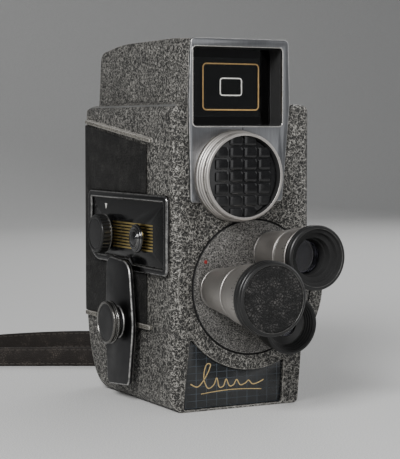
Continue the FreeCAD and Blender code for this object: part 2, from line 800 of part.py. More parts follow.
# ---------------------------------------------------------------- finder tower parts
def make_finder_tower():
    """Hollow finder housing that drops into the body's top."""
    tower = tower_block(0).cut(tower_block(TOWER_WALL))
    front_wall = tower_block(0).common(box(-60, 60, -BODY_FRONT, -BODY_FRONT + 2.0, 0, 200))
    tower = fuse_all([tower, front_wall])
    liner_back = -BODY_FRONT + WINDOW_DEPTH + GLASS_THICK + MASK_THICK
    tower = tower.cut(window_opening(-BODY_FRONT - 1, liner_back, LINER_WALL))
    return tower.cut(rod_y(WINDOW_X, WINDOW_Z, EYE_LENS_R + 1.0, TOWER_REAR - 8, TOWER_REAR + 2))


def make_window_liner():
    """Black tunnel behind the window, with the seat of the glass and a mask behind it."""
    seat = -BODY_FRONT + WINDOW_DEPTH
    back = seat + GLASS_THICK + MASK_THICK
    tube = window_opening(-BODY_FRONT, back, LINER_WALL)
    tube = tube.cut(window_opening(-BODY_FRONT - 1, seat, 0))
    tube = tube.cut(window_opening(-BODY_FRONT, seat + GLASS_THICK, -GLASS_MARGIN))
    wide = MASK_WIDE / 2
    tall = MASK_TALL / 2
    return tube.cut(box(WINDOW_X - wide, WINDOW_X + wide, seat, back + 1, WINDOW_Z - tall, WINDOW_Z + tall))


def make_front_lens():
    """Flat finder glass that carries the frame lines."""
    back = -BODY_FRONT + WINDOW_DEPTH
    return window_opening(back, back + GLASS_THICK, -GLASS_MARGIN)


def frame_line(wide, tall, width, corner):
    """Rounded rectangular line printed on the finder glass."""
    y1 = -BODY_FRONT + WINDOW_DEPTH
    y0 = y1 - LINE_THICK
    outer = []
    inner = []
    for sx, sz in ((-1, -1), (1, -1), (1, 1), (-1, 1)):
        outer.append((WINDOW_X + LINE_X + sx * wide / 2, WINDOW_Z + LINE_Z + sz * tall / 2, corner))
        inner.append(
            (
                WINDOW_X + LINE_X + sx * (wide / 2 - width),
                WINDOW_Z + LINE_Z + sz * (tall / 2 - width),
                max(corner - width, 0.3),
            )
        )
    return prism_y(outer, y0, y1).cut(prism_y(inner, y0 - 1, y1 + 1))


def make_frame_lines():
    """Outer and inner frame lines of the finder."""
    return Part.makeCompound([frame_line(*OUTER_LINE), frame_line(*INNER_LINE)])


def make_eyepiece():
    """Eyepiece ring at the back of the tower."""
    return turned_y(
        WINDOW_X,
        WINDOW_Z,
        [
            (EYE_LENS_R, TOWER_REAR - 3),
            (EYE_LENS_R + 1.0, TOWER_REAR - 3),
            (EYE_LENS_R + 1.0, TOWER_REAR),
            (EYEPIECE_R, TOWER_REAR),
            (EYEPIECE_R, TOWER_REAR + EYEPIECE_LONG - 0.8),
            (EYEPIECE_R - 0.8, TOWER_REAR + EYEPIECE_LONG),
            (EYE_LENS_R + 0.8, TOWER_REAR + EYEPIECE_LONG),
            (EYE_LENS_R, TOWER_REAR + EYEPIECE_LONG - 1.5),
        ],
    )


def make_eye_lens():
    """Rear finder lens inside the eyepiece ring."""
    return rod_y(WINDOW_X, WINDOW_Z, EYE_LENS_R, TOWER_REAR - 1.0, TOWER_REAR + 1.0)


def make_bezel():
    """Bright front plate round the finder window and the photocell."""
    plate = prism_y(
        [
            (BEZEL_FOOT_LEFT, BEZEL_FOOT, 1.5),
            (BEZEL_FOOT_RIGHT, BEZEL_FOOT, 1.5),
            (TOWER_RIGHT + 0.1, BODY_TOP, 60.0),
            (TOWER_RIGHT - TOWER_RIGHT_LEAN, TOWER_TOP - 0.2, 2.2),
            (-TOWER_LEFT + TOWER_LEFT_LEAN, TOWER_TOP - 0.2, 2.2),
            (-TOWER_LEFT - 0.1, BODY_TOP, 60.0),
        ],
        -BODY_FRONT - BEZEL_THICK,
        -BODY_FRONT,
    )
    plate = plate.cut(window_opening(-BODY_FRONT - BEZEL_THICK - 1, -BODY_FRONT + 1))
    return plate.cut(rod_y(CELL_X, CELL_Z, COLLAR_R + SEAM, -BODY_FRONT - BEZEL_THICK - 1, -BODY_FRONT + 1))


# ---------------------------------------------------------------- photocell parts
def make_photocell_collar():
    """Fixed collar whose sleeve passes the front wall and carries the cell lens."""
    inner = SLEEVE_R
    return turned_y(
        CELL_X,
        CELL_Z,
        [
            (inner, CELL_LENS_BACK),
            (LENS_R - 0.2, CELL_LENS_BACK),
            (LENS_R - 0.2, COLLAR_FRONT),
            (COLLAR_R - 0.5, COLLAR_FRONT),
            (COLLAR_R, COLLAR_FRONT + 0.5),
            (COLLAR_R, -BODY_FRONT),
            (HOUSING_R - SEAM, -BODY_FRONT),
            (HOUSING_R - SEAM, -BODY_FRONT + WALL + 1.5),
            (inner, -BODY_FRONT + WALL + 1.5),
        ],
    )


def make_photocell_ring():
    """Knurled ring that turns on the collar's sleeve."""
    back = COLLAR_FRONT - GAP
    front = -RING_FRONT
    bore = LENS_R + GAP
    return turned_y(
        CELL_X,
        CELL_Z,
        [
            (bore, back),
            (RING_R + 0.5, back),
            (RING_R + 0.5, back - 0.9),
            (RING_R, back - 1.2),
            (RING_R, front + RING_CHAMFER),
            (RING_R - RING_CHAMFER, front),
            (RING_R - RING_LIP, front),
            (bore, front + RING_LIP),
        ],
    )


def make_photocell_lens():
    """Disc with rows of small pillow lenses, the outer ones cut round by its rim."""
    disc = rod_y(CELL_X, CELL_Z, LENS_R, CELL_LENS_FRONT, CELL_LENS_BACK)
    front = CELL_LENS_FRONT - PILLOW_HIGH
    rim = rod_y(CELL_X, CELL_Z, LENS_R - PILLOW_RIM, front, CELL_LENS_BACK)
    pillows = []
    for column in range(PILLOW_COLUMNS):
        for row in range(PILLOW_ROWS):
            along = (column - (PILLOW_COLUMNS - 1) / 2) * PILLOW_PITCH_X
            up = (row - (PILLOW_ROWS - 1) / 2) * PILLOW_PITCH_Z
            if math.hypot(along, up) > LENS_R - PILLOW_RIM:
                continue
            x = CELL_X + along - PILLOW_WIDE / 2
            z = CELL_Z + up - PILLOW_TALL / 2
            block = box(x, x + PILLOW_WIDE, front, CELL_LENS_FRONT + 0.5, z, z + PILLOW_TALL)
            pillows.append(block.common(rim))
    return fuse_all([disc] + pillows)


def make_selenium_cell():
    """Light-sensitive disc behind the pillow lens."""
    return rod_y(CELL_X, CELL_Z, SLEEVE_R, -BODY_FRONT - 2.0, -BODY_FRONT - 0.8)


def make_meter_case():
    """Round magnet case of the meter movement, open at its front."""
    case = rod_y(METER_X, METER_Z, METER_R, -40.0, -26.0)
    case = case.cut(rod_y(METER_X, METER_Z, METER_R - METER_WALL, -41.0, -28.0))
    pivot = rod_y(METER_X, METER_Z, METER_PIVOT_R, -28.5, -27.0)
    foot = box(METER_X - 4.0, METER_X + 4.0, -38.0, -28.0, METER_Z + METER_R - 0.5, TOWER_BOTTOM)
    return fuse_all([case, foot]).cut(pivot)


def make_meter_coil():
    """Moving coil with its light vane, on two fine pivots."""
    coil = rod_y(METER_X, METER_Z, COIL_R, -38.0, -30.0)
    pivot = rod_y(METER_X, METER_Z, METER_PIVOT_R - RUN, -39.5, -27.2)
    vane = box(METER_X - 0.6, METER_X + 0.6, -41.2, -40.4, METER_Z - 12.0, METER_Z + 2.0)
    stem = rod_y(METER_X, METER_Z, METER_PIVOT_R - RUN, -41.2, -39.0)
    return fuse_all([coil, pivot, vane, stem])


# ---------------------------------------------------------------- turret and lenses
def station(angle):
    """Place of a lens axis on the turret, as (x, z)."""
    turn = math.radians(angle)
    return TURRET_X + STATION_R * math.cos(turn), TURRET_Z + STATION_R * math.sin(turn)


LONG_AT = station(180)
STANDARD_AT = station(60)
WIDE_AT = station(300)


def make_turret_disc():
    """Crackle-finished lens disc with three threaded seats and its spindle hole."""
    disc = rod_y(TURRET_X, TURRET_Z, TURRET_R, TURRET_FACE, TURRET_BACK)
    spindle = rod_y(TURRET_X, TURRET_Z, SPINDLE_R, TURRET_BACK - 1, BOSS_BACK - GAP)
    disc = fuse_all([disc, spindle])
    seats = []
    for x, z in (LONG_AT, STANDARD_AT, WIDE_AT):
        seats.append(rod_y(x, z, LENS_SCREW_R, TURRET_FACE - 1, TURRET_BACK + 1))
    tap = rod_y(TURRET_X, TURRET_Z, 1.5, BOSS_BACK - 8, BOSS_BACK)
    return disc.cut(Part.makeCompound(seats + [tap]))


def make_turret_nut():
    """Retaining washer and screw behind the boss that hold the turret."""
    washer = rod_y(TURRET_X, TURRET_Z, NUT_R, BOSS_BACK - GAP, BOSS_BACK - GAP + 1.0)
    screw = rod_y(TURRET_X, TURRET_Z, 1.5, BOSS_BACK - 7.0, BOSS_BACK - GAP)
    return fuse_all([washer, screw])


def lens_barrel(at, base_r, end_r, end_y, bore_r):
    """Tapered barrel of a lens, with the threaded tail that sits in the turret."""
    x, z = at
    profile = [
        (bore_r - 2.5, TURRET_BACK - 0.3),
        (LENS_SCREW_R, TURRET_BACK - 0.3),
        (LENS_SCREW_R, TURRET_FACE),
        (base_r, TURRET_FACE),
        (end_r, end_y),
        (bore_r, end_y),
        (bore_r, TURRET_FACE - 2.0),
        (bore_r - 2.5, TURRET_FACE - 2.0),
    ]
    return turned_y(x, z, profile)


def focus_ring(at, bore_r, back_r, back_y, front_r, front_y):
    """Wider scale band in front of the barrel, turning on the lens cell."""
    x, z = at
    return turned_y(
        x,
        z,
        [(bore_r, back_y), (back_r - 0.3, back_y), (back_r, back_y - 0.4), (front_r, front_y), (bore_r, front_y)],
    )


def lens_cell(at, hood_r, hood_back, hood_front, mouth_r, tube_r, tube_back):
    """Black inner tube that carries the glass, flared into the front hood."""
    x, z = at
    return turned_y(
        x,
        z,
        [
            (tube_r - CELL_TUBE_WALL, tube_back),
            (tube_r, tube_back),
            (tube_r, hood_back),
            (hood_r, hood_back),
            (hood_r, hood_front + 0.5),
            (hood_r - 0.5, hood_front),
            (mouth_r, hood_front),
            (mouth_r - 0.4, hood_back - 1.2),
            (tube_r - CELL_TUBE_WALL, hood_back - 1.2),
        ],
    )


def make_long_barrel():
    """Barrel of the long lens."""
    return lens_barrel(LONG_AT, LONG_BASE_R, LONG_END_R, LONG_STEP, BARREL_BORE_R)


def make_long_focus():
    """Scale band of the long lens."""
    back_r, front_r = LONG_BAND_R
    return focus_ring(LONG_AT, CELL_TUBE_R + GAP, back_r, LONG_STEP - GAP, front_r, LONG_FRONT)


def make_long_cell():
    """Hooded cell of the long lens."""
    return lens_cell(LONG_AT, LONG_HOOD_R, LONG_FRONT - GAP, LONG_HOOD, LONG_MOUTH_R, CELL_TUBE_R, LONG_STEP)


def make_cap():
    """Push-in cap of the long lens: rim, flange and plug."""
    x, z = LONG_AT
    front = LONG_HOOD - CAP_THICK
    floor = front + CAP_FACE_THICK
    plug_inner = CAP_PLUG_R - 1.0
    return turned_y(
        x,
        z,
        [
            (0, floor),
            (CAP_FACE_R, floor),
            (CAP_FACE_R, front),
            (CAP_R - 0.6, front),
            (CAP_R, front + 0.5),
            (CAP_R, LONG_HOOD),
            (CAP_PLUG_R, LONG_HOOD),
            (CAP_PLUG_R, LONG_HOOD + CAP_PLUG_DEEP),
            (plug_inner, LONG_HOOD + CAP_PLUG_DEEP),
            (plug_inner, LONG_HOOD),
            (0, LONG_HOOD),
        ],
    )


def make_cap_face():
    """Grained disc let into the front of the cap."""
    x, z = LONG_AT
    return rod_y(x, z, CAP_FACE_R, LONG_HOOD - CAP_THICK, LONG_HOOD - CAP_THICK + CAP_FACE_THICK)


def make_standard_barrel():
    """Barrel of the standard lens."""
    return lens_barrel(STANDARD_AT, STANDARD_BASE_R, STANDARD_END_R, STANDARD_STEP, BARREL_BORE_R)


def make_standard_focus():
    """Scale band of the standard lens."""
    back_r, front_r = STANDARD_BAND_R
    return focus_ring(STANDARD_AT, CELL_TUBE_R + GAP, back_r, STANDARD_STEP - GAP, front_r, STANDARD_FRONT)


def make_standard_cell():
    """Hooded cell of the standard lens, with stepped light baffles."""
    x, z = STANDARD_AT
    back = STANDARD_FRONT - GAP
    return turned_y(
        x,
        z,
        [
            (STANDARD_THROAT_R, STANDARD_STEP),
            (CELL_TUBE_R, STANDARD_STEP),
            (CELL_TUBE_R, back),
            (STANDARD_HOOD_R, back),
            (STANDARD_HOOD_R, STANDARD_HOOD + 0.4),
            (STANDARD_HOOD_R - 0.4, STANDARD_HOOD),
            (12.6, STANDARD_HOOD),
            (12.2, STANDARD_HOOD + 1.6),
            (10.9, STANDARD_HOOD + 1.6),
            (10.7, back - 0.4),
            (8.6, back - 0.4),
            (8.4, back + 3.0),
            (STANDARD_THROAT_R, back + 3.0),
        ],
    )


def make_wide_barrel():
    """Short barrel of the wide lens."""
    return lens_barrel(WIDE_AT, WIDE_BASE_R, WIDE_END_R, WIDE_STEP, BARREL_BORE_R)


def make_wide_cell():
    """Flared black hood of the wide lens, standing on its barrel."""
    x, z = WIDE_AT
    return turned_y(
        x,
        z,
        [
            (WIDE_THROAT_R, WIDE_STEP),
            (WIDE_END_R, WIDE_STEP),
            (12.2, WIDE_STEP - 1.5),
            (WIDE_HOOD_R, WIDE_HOOD + 0.5),
            (WIDE_HOOD_R - 0.3, WIDE_HOOD),
            (12.2, WIDE_HOOD),
            (9.2, WIDE_HOOD + 5.0),
            (WIDE_THROAT_R, WIDE_HOOD + 5.5),
        ],
    )


def make_lens_elements():
    """Front and rear glass of the three lenses, each in its cell or in the throat of its barrel."""
    fronts = (
        (LONG_AT, CELL_TUBE_R - CELL_TUBE_WALL, LONG_FRONT + 4.5),
        (STANDARD_AT, STANDARD_THROAT_R, STANDARD_FRONT + 6.0),
        (WIDE_AT, WIDE_THROAT_R, WIDE_STEP - 4.5),
    )
    pieces = []
    for (x, z), radius, y in fronts:
        pieces.append(rod_y(x, z, radius, y, y + GLASS_DEEP))
        pieces.append(rod_y(x, z, REAR_GLASS_R, TURRET_FACE - 1.0, TURRET_FACE + 0.8))
    return Part.makeCompound(pieces)


# ---------------------------------------------------------------- nameplate and control panel
def make_nameplate():
    """Lacquered plate in the sunk field under the turret boss."""
    back = -BODY_FRONT + NAME_RECESS
    return name_recess(-SEAM, back - NAME_THICK, back)


def make_panel_bezel():
    """Raised bright rim of the control panel."""
    outer = panel_outline(0, -BODY_LEFT - PANEL_THICK, -BODY_LEFT)
    inner = panel_outline(PANEL_RIM, -BODY_LEFT - PANEL_THICK - 1, -BODY_LEFT + 1)
    return outer.cut(inner)


def make_control_plate():
    """Gloss black plate inside the rim, with holes for the dial and button shafts."""
    plate = panel_outline(PANEL_RIM, PLATE_FACE, -BODY_LEFT)
    holes = [
        rod_x(DIAL_Y, DIAL_Z, DIAL_SHAFT_R + RUN, PLATE_FACE - 1, -BODY_LEFT + 1),
        rod_x(BUTTON_Y, BUTTON_Z, PLUNGER_R + RUN, PLATE_FACE - 1, -BODY_LEFT + 1),
    ]
    return plate.cut(Part.makeCompound(holes))


def make_stripes():
    """Row of fine gold lines between the button and the dial."""
    pieces = []
    first = BUTTON_Z + 0.6 - STRIPE_PITCH * (STRIPE_COUNT - 1) / 2
    for i in range(STRIPE_COUNT):
        z = first + i * STRIPE_PITCH
        low = z - STRIPE_TALL / 2
        pieces.append(box(PLATE_FACE - 0.1, PLATE_FACE, STRIPE_FRONT, STRIPE_REAR, low, low + STRIPE_TALL))
    stripes = Part.makeCompound(pieces)
    return stripes.cut(rod_x(BUTTON_Y, BUTTON_Z, PLUNGER_R + GAP, PLATE_FACE - 1, PLATE_FACE + 1))


def make_speed_dial():
    """Grooved running-speed dial with its shaft through the wall."""
    base = -BODY_LEFT - PANEL_THICK - GAP
    body = turned_x(
        DIAL_Y,
        DIAL_Z,
        [
            (0, base),
            (DIAL_R, base),
            (DIAL_R, base - DIAL_HIGH + 0.8),
            (DIAL_FACE_R, base - DIAL_HIGH),
            (0, base - DIAL_HIGH),
        ],
    )
    shaft = rod_x(DIAL_Y, DIAL_Z, DIAL_SHAFT_R, base - 1, -BODY_LEFT + WALL + 1.5)
    grooves = []
    for i in range(DIAL_GROOVES):
        turn = 2 * math.pi * i / DIAL_GROOVES
        grooves.append(
            rod_x(
                DIAL_Y + (DIAL_R + 0.25) * math.cos(turn),
                DIAL_Z + (DIAL_R + 0.25) * math.sin(turn),
                DIAL_GROOVE_R,
                base - DIAL_HIGH - 1,
                base - 0.8,
            )
        )
    return fuse_all([body, shaft]).cut(Part.makeCompound(grooves))


def make_run_button():
    """Round run button with its plunger."""
    head = turned_x(
        BUTTON_Y,
        BUTTON_Z,
        [
            (0, BUTTON_BASE),
            (BUTTON_R, BUTTON_BASE),
            (BUTTON_R, BUTTON_BASE - BUTTON_FLANGE),
            (BUTTON_R - 1.0, BUTTON_BASE - BUTTON_FLANGE - 0.4),
            (BUTTON_R - 2.0, BUTTON_BASE - BUTTON_HIGH + 0.4),
            (BUTTON_R - 3.4, BUTTON_BASE - BUTTON_HIGH),
            (0, BUTTON_BASE - BUTTON_HIGH),
        ],
    )
    plunger = rod_x(BUTTON_Y, BUTTON_Z, PLUNGER_R, BUTTON_BASE - 1, -BODY_LEFT + WALL + 1.0)
    return fuse_all([head, plunger])


def make_button_spring():
    """Flat spring under the plunger, fixed to the inside of the wall."""
    x0 = -BODY_LEFT + WALL
    x1 = x0 + 1.2 + SPRING_THICK
    fixed = BUTTON_Y - SPRING_REACH
    low = BUTTON_Z - SPRING_WIDE / 2
    high = BUTTON_Z + SPRING_WIDE / 2
    leg = box(x0, x1, fixed, fixed + 4.0, low, high)
    blade = box(x1 - SPRING_THICK, x1, fixed, BUTTON_Y + 0.4, low, high)
    return fuse_all([leg, blade])


# ---------------------------------------------------------------- winding key and motor
def make_winding_key():
    """Two-ended paddle with a curved front edge, leaning a few degrees at rest."""
    x0 = -KEY_FACE
    x1 = -KEY_FACE + KEY_THICK
    corners = [(KEY_Y + back, KEY_Z + up, rounding) for back, up, rounding in KEY_OUTLINE]
    paddle = prism_x(corners, x0, x1)
    paddle.rotate(V(0, KEY_Y, KEY_Z), V(1, 0, 0), KEY_TILT)
    neck = rod_x(KEY_Y, KEY_Z, HUB_NECK_R, -HUB_FACE + HUB_THICK, x0 + 0.5)
    shoulder = rod_x(KEY_Y, KEY_Z, KEY_SHOULDER_R, x1 - 0.5, -BODY_LEFT - GAP)
    key = fuse_all([paddle, neck, shoulder])
    return key.cut(rod_x(KEY_Y, KEY_Z, ARBOR_R, -HUB_FACE, 0))


def make_key_hub():
    """Hub cap of the key: a rim round a slightly sunk face, on the end of the arbor."""
    x0 = -HUB_FACE
    x1 = -HUB_FACE + HUB_THICK
    lip = HUB_R - HUB_RIM
    profile = [
        (0, x0 + HUB_SINK),
        (lip, x0 + HUB_SINK),
        (lip, x0),
        (HUB_R - 0.6, x0),
        (HUB_R, x0 + 0.6),
        (HUB_R, x1),
        (ARBOR_R, x1),
        (ARBOR_R, x1 - HUB_SOCKET),
        (0, x1 - HUB_SOCKET),
    ]
    return turned_x(KEY_Y, KEY_Z, profile)


def make_winding_arbor():
    """Shaft from the hub through the wall and the spring barrel to the chassis."""
    return rod_x(KEY_Y, KEY_Z, ARBOR_R, -HUB_FACE + HUB_THICK - HUB_SOCKET, CHASSIS_X + CHASSIS_THICK)


def gear_outline(teeth, module, backlash, addendum, dedendum):
    """Outline of a spur gear as (radius, angle) points with 20-degree involute flanks."""
    pitch_r = module * teeth / 2
    base_r = pitch_r * math.cos(math.radians(20))
    root_r = pitch_r - dedendum * module
    tip_r = pitch_r + addendum * module
    lift = math.tan(math.radians(20)) - math.radians(20)
    radii = [root_r, max(root_r, base_r) + 0.02, pitch_r, tip_r]
    flank = []
    for radius in radii:
        reach = max(radius, base_r)
        pressure = math.acos(base_r / reach)
        half = math.pi / (2 * teeth) + lift - (math.tan(pressure) - pressure)
        flank.append((radius, half - backlash / (2 * pitch_r)))
    points = []
    for tooth in range(teeth):
        middle = 2 * math.pi * tooth / teeth
        points += [(radius, middle - half) for radius, half in flank]
        points += [(radius, middle + half) for radius, half in reversed(flank)]
    return points


def spur_gear_x(y, z, teeth, module, turn, x0, x1):
    """Spur gear along X, turned by turn degrees."""
    points = []
    for radius, angle in gear_outline(teeth, module, 0.14 * module, 0.8, 1.15):
        at = angle + math.radians(turn)
        points.append(V(x0, y + radius * math.cos(at), z + radius * math.sin(at)))
    face = Part.Face(Part.makePolygon(points + points[:1]))
    return face.extrude(V(x1 - x0, 0, 0))


def make_spring_barrel():
    """Drum that holds the mainspring, closed at its left."""
    drum = rod_x(KEY_Y, KEY_Z, BARREL_R, BARREL_X0, BARREL_X1)
    drum = drum.cut(rod_x(KEY_Y, KEY_Z, BARREL_R - BARREL_WALL, BARREL_X0 + BARREL_WALL, BARREL_X1 + 1))
    return drum.cut(rod_x(KEY_Y, KEY_Z, ARBOR_R + RUN, BARREL_X0 - 1, BARREL_X1 + 1))


def make_mainspring():
    """Coiled spring band inside the drum, drawn as spaced turns."""
    x0 = BARREL_X0 + BARREL_WALL + 1.0
    x1 = BARREL_X1 - 1.0
    rings = []
    for turn in range(MAINSPRING_TURNS):
        outer = MAINSPRING_R - turn * MAINSPRING_PITCH
        ring = rod_x(KEY_Y, KEY_Z, outer, x0, x1)
        rings.append(ring.cut(rod_x(KEY_Y, KEY_Z, outer - MAINSPRING_THICK, x0 - 1, x1 + 1)))
    tie = box(x0, x1, KEY_Y - 0.4, KEY_Y + 0.4, KEY_Z + 12.0, KEY_Z + MAINSPRING_R + 0.7)
    return fuse_all(rings + [tie])


def make_drive_wheel():
    """Toothed cover of the drum that drives the train."""
    wheel = spur_gear_x(KEY_Y, KEY_Z, WHEEL_TEETH, MODULE_SPUR, MESH_ANGLE, WHEEL_X, WHEEL_X + WHEEL_THICK)
    plug = rod_x(KEY_Y, KEY_Z, BARREL_R, BARREL_X1, WHEEL_X + 0.1)
    return fuse_all([wheel, plug]).cut(rod_x(KEY_Y, KEY_Z, ARBOR_R + RUN, WHEEL_X - 5, WHEEL_X + 5))


def make_lay_arbor():
    """Arbor from the left wall to the chassis with its pinion and its crown wheel."""
    shaft = rod_x(LAY_Y, SHUTTER_Z, SHAFT_R, -BODY_LEFT + 2.0, CHASSIS_X + CHASSIS_THICK - 0.5)
    turn = MESH_ANGLE + 180 + 180.0 / PINION_TEETH
    x0 = WHEEL_X - 0.3
    x1 = WHEEL_X + WHEEL_THICK + 0.3
    pinion = spur_gear_x(LAY_Y, SHUTTER_Z, PINION_TEETH, MODULE_SPUR, turn, x0, x1)
    return fuse_all([shaft, pinion, make_crown_wheel()])


def make_crown_wheel():
    """Crown wheel on the lay arbor that turns the drive through a right angle."""
    disc = rod_x(LAY_Y, SHUTTER_Z, CROWN_R + 1.4, CROWN_BACK_X, CROWN_ROOT_X)
    teeth = []
    half = CROWN_PITCH * 0.2
    for i in range(CROWN_TEETH):
        tooth_points = [
            V(CROWN_ROOT_X - 0.1, LAY_Y + CROWN_R - 1.4, SHUTTER_Z - half - 0.12),
            V(CROWN_ROOT_X - 0.1, LAY_Y + CROWN_R - 1.4, SHUTTER_Z + half + 0.12),
            V(CROWN_TIP_X, LAY_Y + CROWN_R - 1.4, SHUTTER_Z + half - 0.25),
            V(CROWN_TIP_X, LAY_Y + CROWN_R - 1.4, SHUTTER_Z - half + 0.25),
        ]
        tooth = Part.Face(Part.makePolygon(tooth_points + tooth_points[:1])).extrude(V(0, 2.7, 0))
        tooth.rotate(V(0, LAY_Y, SHUTTER_Z), V(1, 0, 0), 180 + 360.0 * (i + 0.5) / CROWN_TEETH)
        teeth.append(tooth)
    return fuse_all([disc] + teeth)


def make_shutter_shaft():
    """Shaft behind the boss with the small pinion that the crown wheel turns."""
    shaft = rod_y(SHUTTER_X, SHUTTER_Z, SHAFT_R, BOSS_BACK - 2.2, LAY_Y - SHAFT_R - 1.5)
    points = []
    module = 2 * BEVEL_R / BEVEL_TEETH
    for radius, angle in gear_outline(BEVEL_TEETH, module, 0.35 * module, 0.5, 0.85):
        x = SHUTTER_X - radius * math.cos(angle)
        z = SHUTTER_Z - radius * math.sin(angle)
        points.append(V(x, BEVEL_Y - 1.2, z))
    pinion = Part.Face(Part.makePolygon(points + points[:1])).extrude(V(0, 2.4, 0))
    return fuse_all([shaft, pinion])


def make_shutter_disc():
    """Rotary shutter: a disc with an open sector."""
    disc = rod_y(SHUTTER_X, SHUTTER_Z, SHUTTER_R, SHUTTER_Y0, SHUTTER_Y0 + SHUTTER_THICK)
    y0 = SHUTTER_Y0 - 1
    reach = SHUTTER_R * 1.6
    angles = (-70, 0, 70)
    points = [V(SHUTTER_X, y0, SHUTTER_Z)]
    for angle in angles:
        turn = math.radians(angle + 15)
        points.append(V(SHUTTER_X + reach * math.cos(turn), y0, SHUTTER_Z + reach * math.sin(turn)))
    sector = Part.Face(Part.makePolygon(points + points[:1])).extrude(V(0, 3, 0))
    hub = rod_y(SHUTTER_X, SHUTTER_Z, SHUTTER_HUB_R, SHUTTER_Y0, SHUTTER_Y0 + SHUTTER_THICK)
    disc = fuse_all([disc.cut(sector), hub])
    return disc.cut(rod_y(SHUTTER_X, SHUTTER_Z, SHAFT_R, SHUTTER_Y0 - 1, SHUTTER_Y0 + 2))


def make_governor():
    """Centrifugal governor: two weights on a collar."""
    collar = rod_y(SHUTTER_X, SHUTTER_Z, 2 * SHAFT_R, GOVERNOR_Y, GOVERNOR_Y + GOVERNOR_LONG)
    rim = rod_y(SHUTTER_X, SHUTTER_Z, GOVERNOR_R, GOVERNOR_Y, GOVERNOR_Y + 0.8)
    y0 = GOVERNOR_Y + 0.4
    y1 = GOVERNOR_Y + GOVERNOR_LONG - 0.6
    weights = []
    for side in (-1, 1):
        z = SHUTTER_Z + side * 4.2
        weights.append(box(SHUTTER_X - 2.0, SHUTTER_X + 2.0, y0, y1, z - 1.5, z + 1.5))
    governor = fuse_all([collar, rim] + weights)
    return governor.cut(rod_y(SHUTTER_X, SHUTTER_Z, SHAFT_R, GOVERNOR_Y - 1, GOVERNOR_Y + 6))


# ---------------------------------------------------------------- film side
def make_chassis_plate():
    """Plate between the motor and the magazine, with its posts and the shutter shaft's rear bearing."""
    x1 = CHASSIS_X + CHASSIS_THICK
    plate = prism_x(
        [
            (CHASSIS_FRONT, 12.0, 1.0),
            (18.0, 12.0, 1.0),
            (36.0, 24.0, 3.0),
            (BODY_REAR - WALL - 1, 50.0, 3.0),
            (BODY_REAR - WALL - 1, TOWER_BOTTOM - 1, 1.0),
            (CHASSIS_FRONT, TOWER_BOTTOM - 1, 1.0),
        ],
        CHASSIS_X,
        x1,
    )
    y1 = LAY_Y - SHAFT_R - 1.8
    bracket = box(SHUTTER_X - 2.8, CHASSIS_X + 0.5, y1 - 2.0, y1, SHUTTER_Z - 3.6, SHUTTER_Z + 3.6)
    dial_back = BODY_REAR - WALL - 2 * GAP - COUNTER_THICK
    counter_arm = box(COUNTER_X - 4, CHASSIS_X + 0.5, dial_back - 2, dial_back, COUNTER_Z - 4, COUNTER_Z + 4)
    posts = [rod_x(y, z, 2.5, -BODY_LEFT + WALL, CHASSIS_X + 0.5) for y, z in CHASSIS_POSTS]
    plate = fuse_all([plate, bracket, counter_arm] + posts)
    cuts = [
        rod_y(COUNTER_X, COUNTER_Z, SHAFT_R + RUN, dial_back - 3, dial_back + 1),
        rod_y(SHUTTER_X, SHUTTER_Z, SHAFT_R + RUN, y1 - 3, y1 + 1),
        rod_x(LAY_Y, SHUTTER_Z, SHAFT_R + RUN, CHASSIS_X - 1, x1 - 0.2),
        rod_x(KEY_Y, KEY_Z, ARBOR_R + RUN, CHASSIS_X - 1, x1 + 1),
    ]
    return plate.cut(Part.makeCompound(cuts))


def make_film_gate():
    """Film gate with its picture opening and the slot for the claw."""
    y0 = FILM_Y - GATE_THICK
    x0 = CHASSIS_X + CHASSIS_THICK
    gate = box(x0, x0 + 22.0, y0, FILM_Y, TAKING_Z - 24.0, TAKING_Z + 24.0)
    picture = box(TAKING_X - 2.4, TAKING_X + 2.4, y0 - 1, FILM_Y + 1, TAKING_Z - 1.8, TAKING_Z + 1.8)
    slot = box(TAKING_X - 7.4, TAKING_X - 5.2, y0 - 1, FILM_Y + 1, TAKING_Z - 9.4, TAKING_Z - 2.6)
    return gate.cut(Part.makeCompound([picture, slot]))


def make_claw():
    """Film claw: a bar beside the gate with one tooth in the slot."""
    y0 = FILM_Y - GATE_THICK
    z0 = TAKING_Z - 9.4
    bar = box(CHASSIS_X, TAKING_X - 4.8, y0 - 1.5, y0 - 0.4, z0 + 0.4, z0 + 2.9)
    tooth = box(TAKING_X - 6.8, TAKING_X - 5.8, y0 - 1.0, FILM_Y - 0.1, z0 + 1.0, z0 + 1.8)
    return fuse_all([bar, tooth])


def make_magazine():
    """Film magazine with its film window."""
    case = prism_x(
        [
            (MAG_Y0, MAG_Z0, 2.0),
            (MAG_Y0 + MAG_LONG, MAG_Z0, 8.0),
            (MAG_Y0 + MAG_LONG, MAG_Z0 + MAG_TALL, 8.0),
            (MAG_Y0, MAG_Z0 + MAG_TALL, 2.0),
        ],
        MAG_X0,
        MAG_X0 + MAG_THICK,
    )
    window = box(TAKING_X - 9.0, TAKING_X + 5.0, MAG_Y0 - 1, MAG_Y0 + 1.2, TAKING_Z - 14.0, TAKING_Z + 14.0)
    return case.cut(window)


def make_magazine_spring():
    """Flat spring behind the magazine that presses it to the gate."""
    y0 = MAG_Y0 + MAG_LONG
    x0 = CHASSIS_X + CHASSIS_THICK
    blade = box(x0 + 4.0, x0 + 16.0, y0, y0 + 0.5, 52.0, 88.0)
    foot = box(x0, x0 + 16.0, y0 + 0.5, y0 + 2.5, 66.0, 74.0)
    return fuse_all([blade, foot])


def make_counter_dial():
    """Footage dial behind its window in the rear wall."""
    y1 = BODY_REAR - WALL - GAP
    dial = rod_y(COUNTER_X, COUNTER_Z, COUNTER_DIAL_R, y1 - COUNTER_THICK, y1)
    return fuse_all([dial, rod_y(COUNTER_X, COUNTER_Z, SHAFT_R, y1 - 5.0, y1 - 1.0)])


